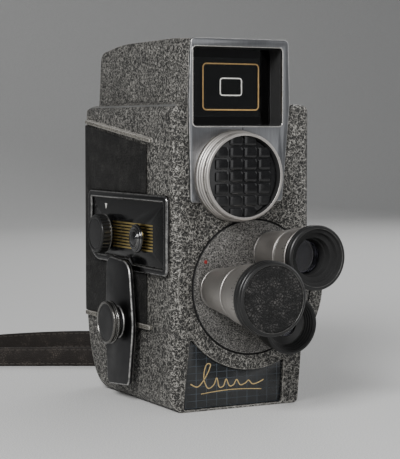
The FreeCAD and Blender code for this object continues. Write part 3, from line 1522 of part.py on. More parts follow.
def make_counter_window():
    """Domed window of the footage dial."""
    return rod_y(COUNTER_X, COUNTER_Z, COUNTER_R, BODY_REAR - WALL, BODY_REAR + 0.4)


# ---------------------------------------------------------------- base and strap
def make_tripod_bush():
    """Steel bush with the tripod thread, flush with the base."""
    sleeve = rod_z(0, 0, BUSH_R, 0, WALL)
    boss = rod_z(0, 0, BUSH_R - 2, 0, SOCKET_DEEP + 2)
    flange = rod_z(0, 0, BUSH_R + 1.5, WALL, WALL + 1.2)
    bush = fuse_all([sleeve, boss, flange])
    return bush.cut(rod_z(0, 0, SOCKET_R, -1, SOCKET_DEEP))


def make_strap_stud():
    """Stud on the rear wall with the upright post that the strap goes round."""
    arm = rod_y(STUD_X, STUD_Z, STUD_R, BODY_REAR - 7.0, STUD_Y)
    post = rod_z(STUD_X, STUD_Y, STUD_POST_R, 0.6, STUD_Z + STUD_R)
    flange = rod_z(STUD_X, STUD_Y, STUD_POST_R + 1.4, STRAP_WIDE + 0.4, STRAP_WIDE + 1.2)
    return fuse_all([arm, post, flange])


def make_wrist_strap():
    """Leather wrist strap: one closed band standing on its edge behind the camera."""
    wire = rounded_wire([(V(x, y, 0), radius) for x, y, radius in STRAP_ROUTE])
    outer = wire.makeOffset2D(STRAP_THICK / 2)
    inner = wire.makeOffset2D(-STRAP_THICK / 2)
    band = Part.Face(outer).extrude(V(0, 0, STRAP_WIDE))
    print("strap length along its middle", round(wire.Length, 1))
    return band.cut(Part.Face(inner).extrude(V(0, 0, STRAP_WIDE)))


PARTS = {
    "body_shell": make_body_shell,
    "magazine_door": make_magazine_door,
    "door_hinge_pin": make_hinge_pin,
    "door_latch": make_door_latch,
    "leather_skin_body": make_leather_left,
    "leather_skin_door": make_leather_door,
    "lower_side_trim": make_lower_trim,
    "finder_tower": make_finder_tower,
    "window_liner": make_window_liner,
    "finder_front_glass": make_front_lens,
    "finder_frame_lines": make_frame_lines,
    "eyepiece_ring": make_eyepiece,
    "eyepiece_lens": make_eye_lens,
    "front_bezel": make_bezel,
    "photocell_collar": make_photocell_collar,
    "photocell_ring": make_photocell_ring,
    "photocell_lens": make_photocell_lens,
    "selenium_cell": make_selenium_cell,
    "meter_case": make_meter_case,
    "meter_coil": make_meter_coil,
    "turret_disc": make_turret_disc,
    "turret_retainer": make_turret_nut,
    "long_lens_barrel": make_long_barrel,
    "long_lens_focus_ring": make_long_focus,
    "long_lens_cell": make_long_cell,
    "lens_cap": make_cap,
    "lens_cap_face": make_cap_face,
    "standard_lens_barrel": make_standard_barrel,
    "standard_lens_focus_ring": make_standard_focus,
    "standard_lens_cell": make_standard_cell,
    "wide_lens_barrel": make_wide_barrel,
    "wide_lens_hood": make_wide_cell,
    "lens_elements": make_lens_elements,
    "nameplate": make_nameplate,
    "panel_rim": make_panel_bezel,
    "control_plate": make_control_plate,
    "control_stripes": make_stripes,
    "speed_dial": make_speed_dial,
    "run_button": make_run_button,
    "button_spring": make_button_spring,
    "winding_key": make_winding_key,
    "key_hub_cap": make_key_hub,
    "winding_arbor": make_winding_arbor,
    "spring_barrel": make_spring_barrel,
    "mainspring": make_mainspring,
    "drive_wheel": make_drive_wheel,
    "lay_arbor": make_lay_arbor,
    "shutter_shaft": make_shutter_shaft,
    "shutter_disc": make_shutter_disc,
    "governor": make_governor,
    "chassis_plate": make_chassis_plate,
    "film_gate": make_film_gate,
    "film_claw": make_claw,
    "film_magazine": make_magazine,
    "magazine_spring": make_magazine_spring,
    "counter_dial": make_counter_dial,
    "counter_window": make_counter_window,
    "tripod_bush": make_tripod_bush,
    "strap_stud": make_strap_stud,
    "wrist_strap": make_wrist_strap,
}

for name, make in PARTS.items():
    shape = make()
    shape.exportStep("parts/" + name + ".step")
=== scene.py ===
"""Looks of a spring-driven magazine cine camera with a three-lens turret and a photocell meter.

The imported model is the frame. Lengths in the classes below are millimetres, and MM turns them
into the frame's metres. X runs to the right, Y to the rear and Z up.
"""
import logging
import math
from dataclasses import dataclass, field
from enum import Enum
from typing import Callable, Iterable, Optional, Sequence, Union

import bmesh
import bpy
from mathutils import Matrix, Vector


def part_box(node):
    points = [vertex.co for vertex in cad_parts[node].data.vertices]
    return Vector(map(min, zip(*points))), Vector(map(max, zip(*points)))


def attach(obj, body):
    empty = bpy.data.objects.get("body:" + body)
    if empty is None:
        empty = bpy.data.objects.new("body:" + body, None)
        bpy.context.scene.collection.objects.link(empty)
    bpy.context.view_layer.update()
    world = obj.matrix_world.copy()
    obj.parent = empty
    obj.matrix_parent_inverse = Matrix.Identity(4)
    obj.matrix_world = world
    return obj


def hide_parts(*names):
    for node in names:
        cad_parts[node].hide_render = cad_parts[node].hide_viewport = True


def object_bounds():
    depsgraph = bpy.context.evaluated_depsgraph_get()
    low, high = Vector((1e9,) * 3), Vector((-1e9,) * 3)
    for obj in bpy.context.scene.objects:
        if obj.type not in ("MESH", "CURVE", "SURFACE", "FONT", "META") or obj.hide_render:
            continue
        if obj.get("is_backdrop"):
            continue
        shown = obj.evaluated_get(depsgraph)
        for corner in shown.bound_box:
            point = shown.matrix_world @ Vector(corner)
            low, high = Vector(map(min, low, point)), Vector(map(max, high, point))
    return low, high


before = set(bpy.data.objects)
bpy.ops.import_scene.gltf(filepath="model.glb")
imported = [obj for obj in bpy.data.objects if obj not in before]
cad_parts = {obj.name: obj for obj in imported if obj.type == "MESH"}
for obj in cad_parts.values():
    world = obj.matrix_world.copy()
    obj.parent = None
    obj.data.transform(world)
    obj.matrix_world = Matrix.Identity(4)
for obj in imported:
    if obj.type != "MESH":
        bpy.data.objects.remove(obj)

CAD_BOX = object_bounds()
MM = 0.001
LOG = logging.getLogger("cine_camera")
Point = tuple[float, float]
Colour = tuple[float, float, float]
Value = Union[float, int, str, tuple, bpy.types.NodeSocket]


class Lie(Enum):
    """Axis that a turned part lies along."""

    X = "x"
    Y = "y"
    Z = "z"


class Grain(Enum):
    """Direction of the fine lines left in a metal face."""

    TURNED = "turned"
    UPRIGHT = "upright"
    LENGTHWISE = "lengthwise"
    CAST = "cast"


# ---------------------------------------------------------------- node sketching
class Sketch:
    """Places and links the nodes of one tree."""

    def __init__(self, tree: bpy.types.NodeTree) -> None:
        """Keeps the tree that nodes are added to."""
        self.tree = tree

    def node(self, kind: str, feeds: Optional[dict] = None, **settings: object) -> bpy.types.Node:
        """Adds one node and feeds its inputs.

        Args:
            kind: Blender's name of the node type.
            feeds: input name or index to a value or to another node's output.
            settings: properties of the node itself.

        Returns:
            The new node.
        """
        made = self.tree.nodes.new(kind)
        for key, setting in settings.items():
            setattr(made, key, setting)
        for key, value in (feeds or {}).items():
            if isinstance(value, bpy.types.NodeSocket):
                self.tree.links.new(value, made.inputs[key])
            else:
                made.inputs[key].default_value = value
        return made

    def sum(self, operation: str, first: Value, second: Value = 0.0) -> bpy.types.NodeSocket:
        """Adds a Math node.

        Args:
            operation: the Math node's operation.
            first: first value or socket.
            second: second value or socket.

        Returns:
            The result socket.
        """
        return self.node("ShaderNodeMath", {0: first, 1: second}, operation=operation).outputs[0]

    def step(self, value: Value, low: float, high: float, to_low: float = 0.0, to_high: float = 1.0):
        """Adds a smooth step.

        Args:
            value: value or socket to map.
            low: value that gives to_low.
            high: value that gives to_high.
            to_low: result at low.
            to_high: result at high.

        Returns:
            The result socket.
        """
        feeds = {"Value": value, "From Min": low, "From Max": high, "To Min": to_low, "To Max": to_high}
        return self.node("ShaderNodeMapRange", feeds, interpolation_type="SMOOTHSTEP").outputs[0]

    def blend(self, factor: Value, first: Value, second: Value) -> bpy.types.NodeSocket:
        """Adds a colour mix.

        Args:
            factor: share of the second colour.
            first: colour or socket at 0.
            second: colour or socket at 1.

        Returns:
            The mixed colour socket.
        """
        feeds = {0: factor, 6: opaque(first), 7: opaque(second)}
        return self.node("ShaderNodeMix", feeds, data_type="RGBA").outputs[2]

    def place(self, where: Value, scale: Colour, shift: Colour = (0.0, 0.0, 0.0)) -> bpy.types.NodeSocket:
        """Adds a Mapping node.

        Args:
            where: coordinate socket.
            scale: scale on each axis.
            shift: location on each axis.

        Returns:
            The mapped vector socket.
        """
        return self.node("ShaderNodeMapping", {"Vector": where, "Scale": scale, "Location": shift}).outputs[0]

    def noise(self, where: Value, scale: float, detail: float = 2.0, roughness: float = 0.5):
        """Adds a noise texture.

        Args:
            where: coordinate socket.
            scale: scale of the noise.
            detail: number of octaves.
            roughness: strength of the finer octaves.

        Returns:
            The factor socket, which lies about 0.5.
        """
        feeds = {"Vector": where, "Scale": scale, "Detail": detail, "Roughness": roughness}
        return self.node("ShaderNodeTexNoise", feeds).outputs["Fac"]


def opaque(colour: Value) -> Value:
    """Gives a three-number colour its alpha and leaves a socket alone."""
    if isinstance(colour, tuple) and len(colour) == 3:
        return (*colour, 1.0)
    return colour


@dataclass(frozen=True)
class SharedEffect:
    """Shader node group that several finishes use."""

    name: str
    inputs: tuple[tuple[str, str, object], ...]
    outputs: tuple[tuple[str, str], ...]
    draw: Callable[[Sketch, bpy.types.Node], dict]

    def tree(self) -> bpy.types.NodeTree:
        """Builds the group once.

        Returns:
            The node group.
        """
        known = bpy.data.node_groups.get(self.name)
        if known:
            return known
        tree = bpy.data.node_groups.new(self.name, "ShaderNodeTree")
        for name, kind, start in self.inputs:
            socket = tree.interface.new_socket(name, in_out="INPUT", socket_type=kind)
            if start is not None:
                socket.default_value = start
        for name, kind in self.outputs:
            tree.interface.new_socket(name, in_out="OUTPUT", socket_type=kind)
        sketch = Sketch(tree)
        results = self.draw(sketch, sketch.node("NodeGroupInput"))
        sketch.node("NodeGroupOutput", results)
        return tree

    def use(self, sketch: Sketch, feeds: dict) -> bpy.types.Node:
        """Places the group in a material.

        Args:
            sketch: the material's sketch.
            feeds: the group's inputs by name.

        Returns:
            The group node.
        """
        made = sketch.node("ShaderNodeGroup", node_tree=self.tree())
        for key, value in feeds.items():
            if isinstance(value, bpy.types.NodeSocket):
                sketch.tree.links.new(value, made.inputs[key])
            else:
                made.inputs[key].default_value = value
        return made


def draw_wrinkles(sketch: Sketch, given: bpy.types.Node) -> dict:
    """Draws the wrinkled grain of crackle paint, with masks for painted shade in the crevices and painted
    highlight on the wrinkle tops.

    Args:
        sketch: the group's sketch.
        given: the group's input node.

    Returns:
        The group's outputs by name.
    """
    where = given.outputs["Where"]
    warp = sketch.node("ShaderNodeTexNoise", {"Vector": where, "Scale": 0.55, "Detail": 2.0}).outputs["Color"]
    warp = sketch.node("ShaderNodeVectorMath", {0: warp, 1: (0.5, 0.5, 0.5)}, operation="SUBTRACT").outputs[0]
    warp = sketch.node("ShaderNodeVectorMath", {0: warp, "Scale": 1.5}, operation="SCALE").outputs[0]
    bent = sketch.node("ShaderNodeVectorMath", {0: where, 1: warp}, operation="ADD").outputs[0]
    ridges = []
    for scale, share in ((0.62, 1.0), (0.93, 0.85)):
        level = sketch.noise(bent, scale, 1.5, 0.45)
        off = sketch.sum("ABSOLUTE", sketch.sum("SUBTRACT", level, 0.5))
        ridges.append(sketch.step(off, 0.085, 0.0, 0.0, share))
    folds = sketch.sum("MAXIMUM", ridges[0], ridges[1])
    lumps = sketch.step(sketch.noise(bent, 1.9, 2.0, 0.6), 0.36, 0.64)
    height = sketch.sum("ADD", sketch.sum("MULTIPLY", folds, 0.74), sketch.sum("MULTIPLY", lumps, 0.26))
    # Painted shade darkens the crevices and painted highlight lightens the wrinkle tops.
    crevice_shade_mask = sketch.step(height, 0.36, 0.10)
    fleck_highlight_mask = sketch.step(height, 0.52, 0.88)
    return {"Height": height, "Crevice Shade": crevice_shade_mask, "Fleck Highlight": fleck_highlight_mask}


WRINKLES = SharedEffect(
    "crackle_wrinkles",
    (("Where", "NodeSocketVector", None),),
    (("Height", "NodeSocketFloat"), ("Crevice Shade", "NodeSocketFloat"), ("Fleck Highlight", "NodeSocketFloat")),
    draw_wrinkles,
)


def draw_handling(sketch: Sketch, given: bpy.types.Node) -> dict:
    """Draws smudges, fine dust and short scratches.

    Args:
        sketch: the group's sketch.
        given: the group's input node.

    Returns:
        The group's outputs by name.
    """
    where = given.outputs["Where"]
    smudge = sketch.step(sketch.noise(where, 0.07, 4.0, 0.6), 0.38, 0.66)
    dust = sketch.step(sketch.noise(where, 2.6, 2.0, 0.7), 0.66, 0.78)
    streaks = sketch.noise(sketch.place(where, (0.05, 0.22, 3.1)), 1.0, 3.0, 0.7)
    scratch = sketch.step(streaks, 0.70, 0.76)
    return {"Smudge": smudge, "Dust": dust, "Scratch": scratch}


HANDLING = SharedEffect(
    "handling_marks",
    (("Where", "NodeSocketVector", None),),
    (("Smudge", "NodeSocketFloat"), ("Dust", "NodeSocketFloat"), ("Scratch", "NodeSocketFloat")),
    draw_handling,
)


def draw_edge_wear(sketch: Sketch, given: bpy.types.Node) -> dict:
    """Draws patchy wear where the piece's wear attribute marks an edge.

    Args:
        sketch: the group's sketch.
        given: the group's input node.

    Returns:
        The group's outputs by name.
    """
    patch = sketch.noise(given.outputs["Where"], 0.45, 3.0, 0.65)
    raised = sketch.sum("MULTIPLY", given.outputs["Edge"], sketch.step(patch, 0.30, 0.62, 0.25, 1.0))
    return {"Worn": sketch.sum("MULTIPLY", raised, given.outputs["Amount"])}


EDGE_WEAR = SharedEffect(
    "edge_wear",
    (
        ("Where", "NodeSocketVector", None),
        ("Edge", "NodeSocketFloat", 0.0),
        ("Amount", "NodeSocketFloat", 1.0),
    ),
    (("Worn", "NodeSocketFloat"),),
    draw_edge_wear,
)


# ---------------------------------------------------------------- finishes
@dataclass(frozen=True)
class Finish:
    """A finish that a maker would name, built as one material."""

    name: str

    def material(self) -> bpy.types.Material:
        """Builds the material once.

        Returns:
            The material of this finish.
        """
        known = bpy.data.materials.get(self.name)
        if known:
            return known
        made = bpy.data.materials.new(self.name)
        made.use_nodes = True
        sketch = Sketch(made.node_tree)
        shader = made.node_tree.nodes["Principled BSDF"]
        self.mix(sketch, shader)
        return made

    def mix(self, sketch: Sketch, shader: bpy.types.Node) -> None:
        """Feeds the shader; each finish has its own."""
        raise NotImplementedError

    def dress(self, piece: bpy.types.Object) -> bpy.types.Object:
        """Puts the finish on every face of a piece.

        Args:
            piece: mesh or curve object.

        Returns:
            The same piece.
        """
        piece.data.materials.clear()
        piece.data.materials.append(self.material())
        return piece

    @staticmethod
    def millimetres(sketch: Sketch) -> bpy.types.NodeSocket:
        """Gives the piece's own coordinates in millimetres.

        Args:
            sketch: the material's sketch.

        Returns:
            The vector socket.
        """
        where = sketch.node("ShaderNodeTexCoord").outputs["Object"]
        return sketch.place(where, (1000.0, 1000.0, 1000.0))

    @staticmethod
    def feed(sketch: Sketch, shader: bpy.types.Node, feeds: dict) -> None:
        """Sets or links the shader's inputs.

        Args:
            sketch: the material's sketch.
            shader: the Principled BSDF node.
            feeds: input name to value or socket.
        """
        for key, value in feeds.items():
            if isinstance(value, bpy.types.NodeSocket):
                sketch.tree.links.new(value, shader.inputs[key])
            else:
                shader.inputs[key].default_value = opaque(value)

    @staticmethod
    def bump(sketch: Sketch, height: bpy.types.NodeSocket, depth: float, strength: float = 1.0):
        """Adds a Bump node.

        Args:
            sketch: the material's sketch.
            height: height socket, 0 to 1.
            depth: real depth of the pattern in millimetres.
            strength: share of the bump that is used.

        Returns:
            The normal socket.
        """
        feeds = {"Height": height, "Distance": depth * MM, "Strength": strength}
        return sketch.node("ShaderNodeBump", feeds).outputs[0]


@dataclass(frozen=True)
class CracklePaint(Finish):
    """Baked crackle paint whose colour is darker in the crevices as painted shade and lighter on the wrinkle
    tops as painted highlight.
    """

    # light is the painted highlight on the wrinkle tops and dark the painted shade in the crevices.
    light: Colour = (0.30, 0.29, 0.265)
    middle: Colour = (0.050, 0.048, 0.044)
    dark: Colour = (0.008, 0.0078, 0.0072)
    grain: float = 1.25
    depth: float = 0.5
    wear: float = 0.75

    def mix(self, sketch: Sketch, shader: bpy.types.Node) -> None:
        """Mixes three greys by the wrinkle height, as painted shade in the crevices and painted highlight on
        the tops, and rubs the edges bright.

        Args:
            sketch: the material's sketch.
            shader: the Principled BSDF node.
        """
        where = self.millimetres(sketch)
        fine = sketch.place(where, (1 / self.grain,) * 3)
        wrinkles = WRINKLES.use(sketch, {"Where": fine})
        marks = HANDLING.use(sketch, {"Where": where})
        edge = sketch.node("ShaderNodeAttribute", attribute_name="wear").outputs["Fac"]
        worn = EDGE_WEAR.use(sketch, {"Where": where, "Edge": edge, "Amount": self.wear}).outputs[0]
        # Painted shade in the crevices, then painted highlight on the wrinkle tops.
        body = sketch.blend(wrinkles.outputs["Crevice Shade"], self.middle, self.dark)
        body = sketch.blend(wrinkles.outputs["Fleck Highlight"], body, self.light)
        body = sketch.blend(worn, body, (0.48, 0.46, 0.425))
        tone = sketch.step(marks.outputs["Smudge"], 0.0, 1.0, 0.86, 1.08)
        body = sketch.node("ShaderNodeVectorMath", {0: body, "Scale": tone}, operation="SCALE").outputs[0]
        rough = sketch.step(wrinkles.outputs["Fleck Highlight"], 0.0, 1.0, 0.62, 0.36)
        normal = self.bump(sketch, wrinkles.outputs["Height"], self.depth)
        self.feed(
            sketch,
            shader,
            {
                "Base Color": body, "Roughness": rough, "Metallic": 0.25, "Specular IOR Level": 0.6,
                "Normal": normal
            },
        )


@dataclass(frozen=True)
class Metal(Finish):
    """Machined, brushed or cast metal."""

    colour: Colour = (0.6, 0.6, 0.6)
    roughness: float = 0.3
    grain: Grain = Grain.TURNED
    depth: float = 0.012
    wear: float = 0.0

    def lines(self, sketch: Sketch, where: bpy.types.NodeSocket) -> bpy.types.NodeSocket:
        """Draws the fine lines of the chosen grain.

        Args:
            sketch: the material's sketch.
            where: coordinates in millimetres.

        Returns:
            The line pattern's socket.
        """
        if self.grain is Grain.TURNED:
            own = sketch.node("ShaderNodeUVMap", uv_map="UVMap").outputs[0]
            return sketch.noise(sketch.place(own, (0.05, 7.0, 1.0)), 1.0, 3.0, 0.6)
        scales = {
            Grain.UPRIGHT: (6.0, 6.0, 0.12),
            Grain.LENGTHWISE: (6.0, 0.12, 6.0),
            Grain.CAST: (2.2, 2.2, 2.2),
        }
        return sketch.noise(sketch.place(where, scales[self.grain]), 1.0, 3.0, 0.6)

    def mix(self, sketch: Sketch, shader: bpy.types.Node) -> None:
        """Mixes the metal with its grain, smudges and bright edges.

        Args:
            sketch: the material's sketch.
            shader: the Principled BSDF node.
        """
        where = self.millimetres(sketch)
        lines = self.lines(sketch, where)
        marks = HANDLING.use(sketch, {"Where": where})
        edge = sketch.node("ShaderNodeAttribute", attribute_name="wear").outputs["Fac"]
        worn = EDGE_WEAR.use(sketch, {"Where": where, "Edge": edge, "Amount": self.wear}).outputs[0]
        shade = tuple(channel * 0.82 for channel in self.colour)
        body = sketch.blend(sketch.step(lines, 0.35, 0.65), shade, self.colour)
        body = sketch.blend(sketch.sum("MULTIPLY", marks.outputs["Dust"], 0.25), body, (0.09, 0.085, 0.08))
        # Bright worn edges; on the black chrome panel rim these are painted highlights.
        body = sketch.blend(worn, body, (0.72, 0.71, 0.69))
        rough = sketch.sum("ADD", self.roughness - 0.06, sketch.sum("MULTIPLY", lines, 0.12))
        rough = sketch.sum("ADD", rough, sketch.sum("MULTIPLY", marks.outputs["Smudge"], 0.10))
        self.feed(
            sketch,
            shader,
            {
                "Base Color": body, "Roughness": rough, "Metallic": 1.0,
                "Normal": self.bump(sketch, lines, self.depth)
            },
        )


@dataclass(frozen=True)
class Lacquer(Finish):
    """Hard paint: gloss lacquer or satin enamel."""

    colour: Colour = (0.012, 0.012, 0.013)
    roughness: float = 0.12
    texture: float = 0.004
    wear: float = 0.0
    worn_colour: Colour = (0.45, 0.44, 0.42)
    gloss: float = 0.5

    def mix(self, sketch: Sketch, shader: bpy.types.Node) -> None:
        """Mixes the paint with dust, smudges and worn edges.

        Args:
            sketch: the material's sketch.
            shader: the Principled BSDF node.
        """
        where = self.millimetres(sketch)
        marks = HANDLING.use(sketch, {"Where": where})
        edge = sketch.node("ShaderNodeAttribute", attribute_name="wear").outputs["Fac"]
        worn = EDGE_WEAR.use(sketch, {"Where": where, "Edge": edge, "Amount": self.wear}).outputs[0]
        dusty = tuple(min(1.0, channel + 0.05) for channel in self.colour)
        body = sketch.blend(sketch.sum("MULTIPLY", marks.outputs["Dust"], 0.7), self.colour, dusty)
        body = sketch.blend(worn, body, self.worn_colour)
        rough = sketch.sum("ADD", self.roughness, sketch.sum("MULTIPLY", marks.outputs["Smudge"], 0.14))
        orange_peel = sketch.noise(where, 1.1, 2.0, 0.5)
        self.feed(
            sketch,
            shader,
            {
                "Base Color": body,
                "Roughness": rough,
                "Metallic": sketch.sum("MULTIPLY", worn, 0.8),
                "Specular IOR Level": self.gloss,
                "Normal": self.bump(sketch, orange_peel, self.texture),
            },
        )


@dataclass(frozen=True)
class LeatherCloth(Finish):
    """Pebbled leather cloth or strap leather."""

    colour: Colour = (0.006, 0.0058, 0.0055)
    worn: Colour = (0.034, 0.032, 0.030)
    pebble: float = 0.75
    depth: float = 0.12
    roughness: float = 0.58

    def mix(self, sketch: Sketch, shader: bpy.types.Node) -> None:
        """Mixes pebbles, the creases between them and rubbed tops.

        Args:
            sketch: the material's sketch.
            shader: the Principled BSDF node.
        """
        where = self.millimetres(sketch)
        marks = HANDLING.use(sketch, {"Where": where})
        bent = sketch.noise(where, 0.6, 2.0, 0.5)
        feeds = {
            "Vector": sketch.node("ShaderNodeVectorMath", {0: where, 1: bent}, operation="ADD").outputs[0]
        }
        feeds["Scale"] = 1 / self.pebble
        cells = sketch.node("ShaderNodeTexVoronoi", feeds, feature="DISTANCE_TO_EDGE").outputs["Distance"]
        tops = sketch.step(cells, 0.02, 0.34)
        rubbed = sketch.sum("MULTIPLY", tops, sketch.step(sketch.noise(where, 0.16, 3.0, 0.6), 0.42, 0.72))
        body = sketch.blend(rubbed, self.colour, self.worn)
        body = sketch.blend(sketch.sum("MULTIPLY", marks.outputs["Dust"], 0.5), body, (0.10, 0.095, 0.09))
        rough = sketch.sum("SUBTRACT", self.roughness, sketch.sum("MULTIPLY", rubbed, 0.16))
        self.feed(
            sketch,
            shader,
            {
                "Base Color": body,
                "Roughness": rough,
                "Specular IOR Level": 0.14,
                "Sheen Weight": 0.03,
                "Normal": self.bump(sketch, tops, self.depth),
            },
        )


@dataclass(frozen=True)
class Glass(Finish):
    """Clear, tinted or coated glass."""

    tint: Colour = (0.9, 0.92, 0.92)
    roughness: float = 0.02

    def mix(self, sketch: Sketch, shader: bpy.types.Node) -> None:
        """Mixes clear glass whose gloss varies with fine smudges.

        Args:
            sketch: the material's sketch.
            shader: the Principled BSDF node.
        """
        marks = HANDLING.use(sketch, {"Where": self.millimetres(sketch)})
        rough = sketch.sum("ADD", self.roughness, sketch.sum("MULTIPLY", marks.outputs["Smudge"], 0.03))
        haze = tuple(channel * 0.93 for channel in self.tint)
        tint = sketch.blend(marks.outputs["Smudge"], self.tint, haze)
        self.feed(
            sketch, shader, {"Base Color": tint, "Roughness": rough, "IOR": 1.5, "Transmission Weight": 1.0}
        )


@dataclass(frozen=True)
class Ink(Finish):
    """Printed or filled line work."""

    colour: Colour = (0.8, 0.8, 0.78)
    metallic: float = 0.0
    roughness: float = 0.4

    def mix(self, sketch: Sketch, shader: bpy.types.Node) -> None:
        """Mixes the ink with a slight unevenness.

        Args:
            sketch: the material's sketch.
            shader: the Principled BSDF node.
        """
        where = self.millimetres(sketch)
        uneven = sketch.step(sketch.noise(where, 1.7, 3.0, 0.6), 0.34, 0.66)
        thin = tuple(channel * 0.72 for channel in self.colour)
        body = sketch.blend(uneven, thin, self.colour)
        rough = sketch.sum("ADD", self.roughness, sketch.sum("MULTIPLY", uneven, 0.12))
        self.feed(sketch, shader, {"Base Color": body, "Roughness": rough, "Metallic": self.metallic})


@dataclass(frozen=True)
class PlaidLacquer(Finish):
    """Black lacquer plate with fine crossing pinstripes."""

    line_colour: Colour = (0.045, 0.058, 0.072)
    upright_pitch: float = 5.2
    level_pitch: float = 3.1
    line_share: float = 0.045

    def lines(self, sketch: Sketch, along: Value, pitch: float) -> bpy.types.NodeSocket:
        """Draws evenly spaced lines.

        Args:
            sketch: the material's sketch.
            along: coordinate socket in millimetres.
            pitch: distance between lines.

        Returns:
            A mask that is 1 on a line.
        """
        phase = sketch.sum("FRACT", sketch.sum("DIVIDE", along, pitch))
        off = sketch.sum("ABSOLUTE", sketch.sum("SUBTRACT", phase, 0.5))
        return sketch.step(off, self.line_share, self.line_share * 0.4)

    def mix(self, sketch: Sketch, shader: bpy.types.Node) -> None:
        """Mixes the lacquer and its two sets of lines.

        Args:
            sketch: the material's sketch.
            shader: the Principled BSDF node.
        """
        where = self.millimetres(sketch)
        split = sketch.node("ShaderNodeSeparateXYZ", {0: where})
        upright = self.lines(sketch, split.outputs["X"], self.upright_pitch)
        level = self.lines(sketch, split.outputs["Z"], self.level_pitch)
        both = sketch.sum("MAXIMUM", upright, level)
        fade = sketch.step(sketch.noise(where, 0.09, 2.0, 0.5), 0.35, 0.65, 0.35, 0.9)
        marks = HANDLING.use(sketch, {"Where": where})
        body = sketch.blend(sketch.sum("MULTIPLY", both, fade), (0.011, 0.012, 0.013), self.line_colour)
        body = sketch.blend(sketch.sum("MULTIPLY", marks.outputs["Dust"], 0.4), body, (0.07, 0.07, 0.07))
        rough = sketch.sum("ADD", 0.16, sketch.sum("MULTIPLY", marks.outputs["Smudge"], 0.16))
        self.feed(
            sketch, shader, {"Base Color": body, "Roughness": rough, "Normal": self.bump(sketch, both, 0.01)}
        )


BODY_PAINT = CracklePaint("crackle_paint_body")
TURRET_PAINT = CracklePaint(
    "crackle_paint_turret", light=(0.25, 0.24, 0.225), middle=(0.085, 0.082, 0.077), grain=0.62, depth=0.2,
    wear=0.1
)
CAST_METAL = Metal("cast_aluminium", colour=(0.38, 0.38, 0.37), roughness=0.5, grain=Grain.CAST, depth=0.05)
CHAMPAGNE = Metal("satin_champagne", colour=(0.50, 0.475, 0.45), roughness=0.42, depth=0.012, wear=0.3)
BRIGHT = Metal(
    "bright_nickel", colour=(0.66, 0.65, 0.62), roughness=0.16, grain=Grain.CAST, depth=0.002, wear=0.4
)
BEZEL_METAL = Metal(
    "brushed_bezel", colour=(0.21, 0.215, 0.225), roughness=0.3, grain=Grain.UPRIGHT, depth=0.006, wear=0.8
)
# Finer, lighter crackle of the lower trim; on the upper side rib its lighter colour and bright edges are
# partly the rib's smoother finish and partly painted highlight.
TRIM_PAINT_AND_RIB_HIGHLIGHT = CracklePaint(
    "crackle_paint_trim_and_rib_highlight", light=(0.30, 0.285, 0.25), middle=(0.15, 0.14, 0.12), grain=0.7, depth=0.12,
    wear=1.0
)
KEY_METAL = Metal(
    "dark_key_plating", colour=(0.035, 0.035, 0.037), roughness=0.36, grain=Grain.UPRIGHT, depth=0.01,
    wear=0.75
)
STEEL = Metal("plain_steel", colour=(0.52, 0.52, 0.53), roughness=0.3, grain=Grain.CAST, depth=0.01)
BRASS = Metal("clock_brass", colour=(0.60, 0.44, 0.20), roughness=0.28, grain=Grain.CAST, depth=0.01)
BLUED = Metal("blued_spring", colour=(0.06, 0.075, 0.13), roughness=0.25, grain=Grain.CAST, depth=0.005)
# Black chrome of the panel rim; its bright worn edges stand in as painted highlights along the rim.
BLACK_CHROME_EDGE_HIGHLIGHT = Metal(
    "black_chrome_edge_highlight", colour=(0.028, 0.028, 0.030), roughness=0.17, grain=Grain.CAST, depth=0.003, wear=0.4
)
BUTTON_CHROME = Metal("button_chrome", colour=(0.09, 0.09, 0.092), roughness=0.13, depth=0.002, wear=0.5)
HUB_METAL = Metal("dark_turned_rim", colour=(0.17, 0.165, 0.155), roughness=0.22, depth=0.01, wear=0.5)
GOLD_METAL = Metal(
    "gold_line_metal", colour=(0.66, 0.50, 0.17), roughness=0.28, grain=Grain.LENGTHWISE, depth=0.003
)
GLOSS_BLACK = Lacquer(
    "gloss_black_panel", colour=(0.003, 0.003, 0.0033), roughness=0.14, wear=0.5, gloss=0.25
)
HUB_FACE = Lacquer("hub_face_grey", colour=(0.012, 0.012, 0.0125), roughness=0.36, texture=0.01, gloss=0.3)
HOOD_BLACK = Lacquer(
    "satin_black_hood", colour=(0.008, 0.008, 0.008), roughness=0.34, texture=0.02, wear=0.25, gloss=0.4
)
# Matt black for real blackened insides, also used as painted shadow in the turret gap and at the lens
# barrels' feet.
INNER_BLACK_AND_PAINTED_SHADE = Lacquer("matt_black_inner_and_painted_shade", colour=(0.006, 0.006, 0.006), roughness=0.75, texture=0.03)
DIAL_BLACK = Lacquer(
    "dial_black", colour=(0.010, 0.010, 0.010), roughness=0.3, texture=0.012, wear=0.35, gloss=0.35
)
METER_BLACK = Lacquer("meter_case_black", colour=(0.02, 0.02, 0.022), roughness=0.45, texture=0.02)
MAGAZINE_GREY = Lacquer("magazine_enamel", colour=(0.14, 0.15, 0.15), roughness=0.4, texture=0.02, wear=0.5)
SKIN_CLOTH = LeatherCloth("leather_cloth")
STRAP_LEATHER = LeatherCloth(
    "strap_leather", colour=(0.016, 0.0135, 0.012), worn=(0.06, 0.05, 0.042), pebble=1.1
)
CAP_LEATHER = LeatherCloth(
    "cap_grain", colour=(0.010, 0.010, 0.010), worn=(0.11, 0.105, 0.10), pebble=1.15, depth=0.3, roughness=0.4
)
FINDER_GLASS = Glass("finder_glass", tint=(0.55, 0.58, 0.58))
LENS_GLASS = Glass("lens_glass", tint=(0.36, 0.36, 0.45))
CELL_GLASS = Lacquer("pillow_lens_dark", colour=(0.006, 0.006, 0.0065), roughness=0.07, texture=0.003)
SELENIUM = Lacquer("selenium_cell_face", colour=(0.012, 0.012, 0.012), roughness=0.4, texture=0.02)
AMBER_INK = Ink("amber_frame_ink", colour=(0.45, 0.28, 0.10))
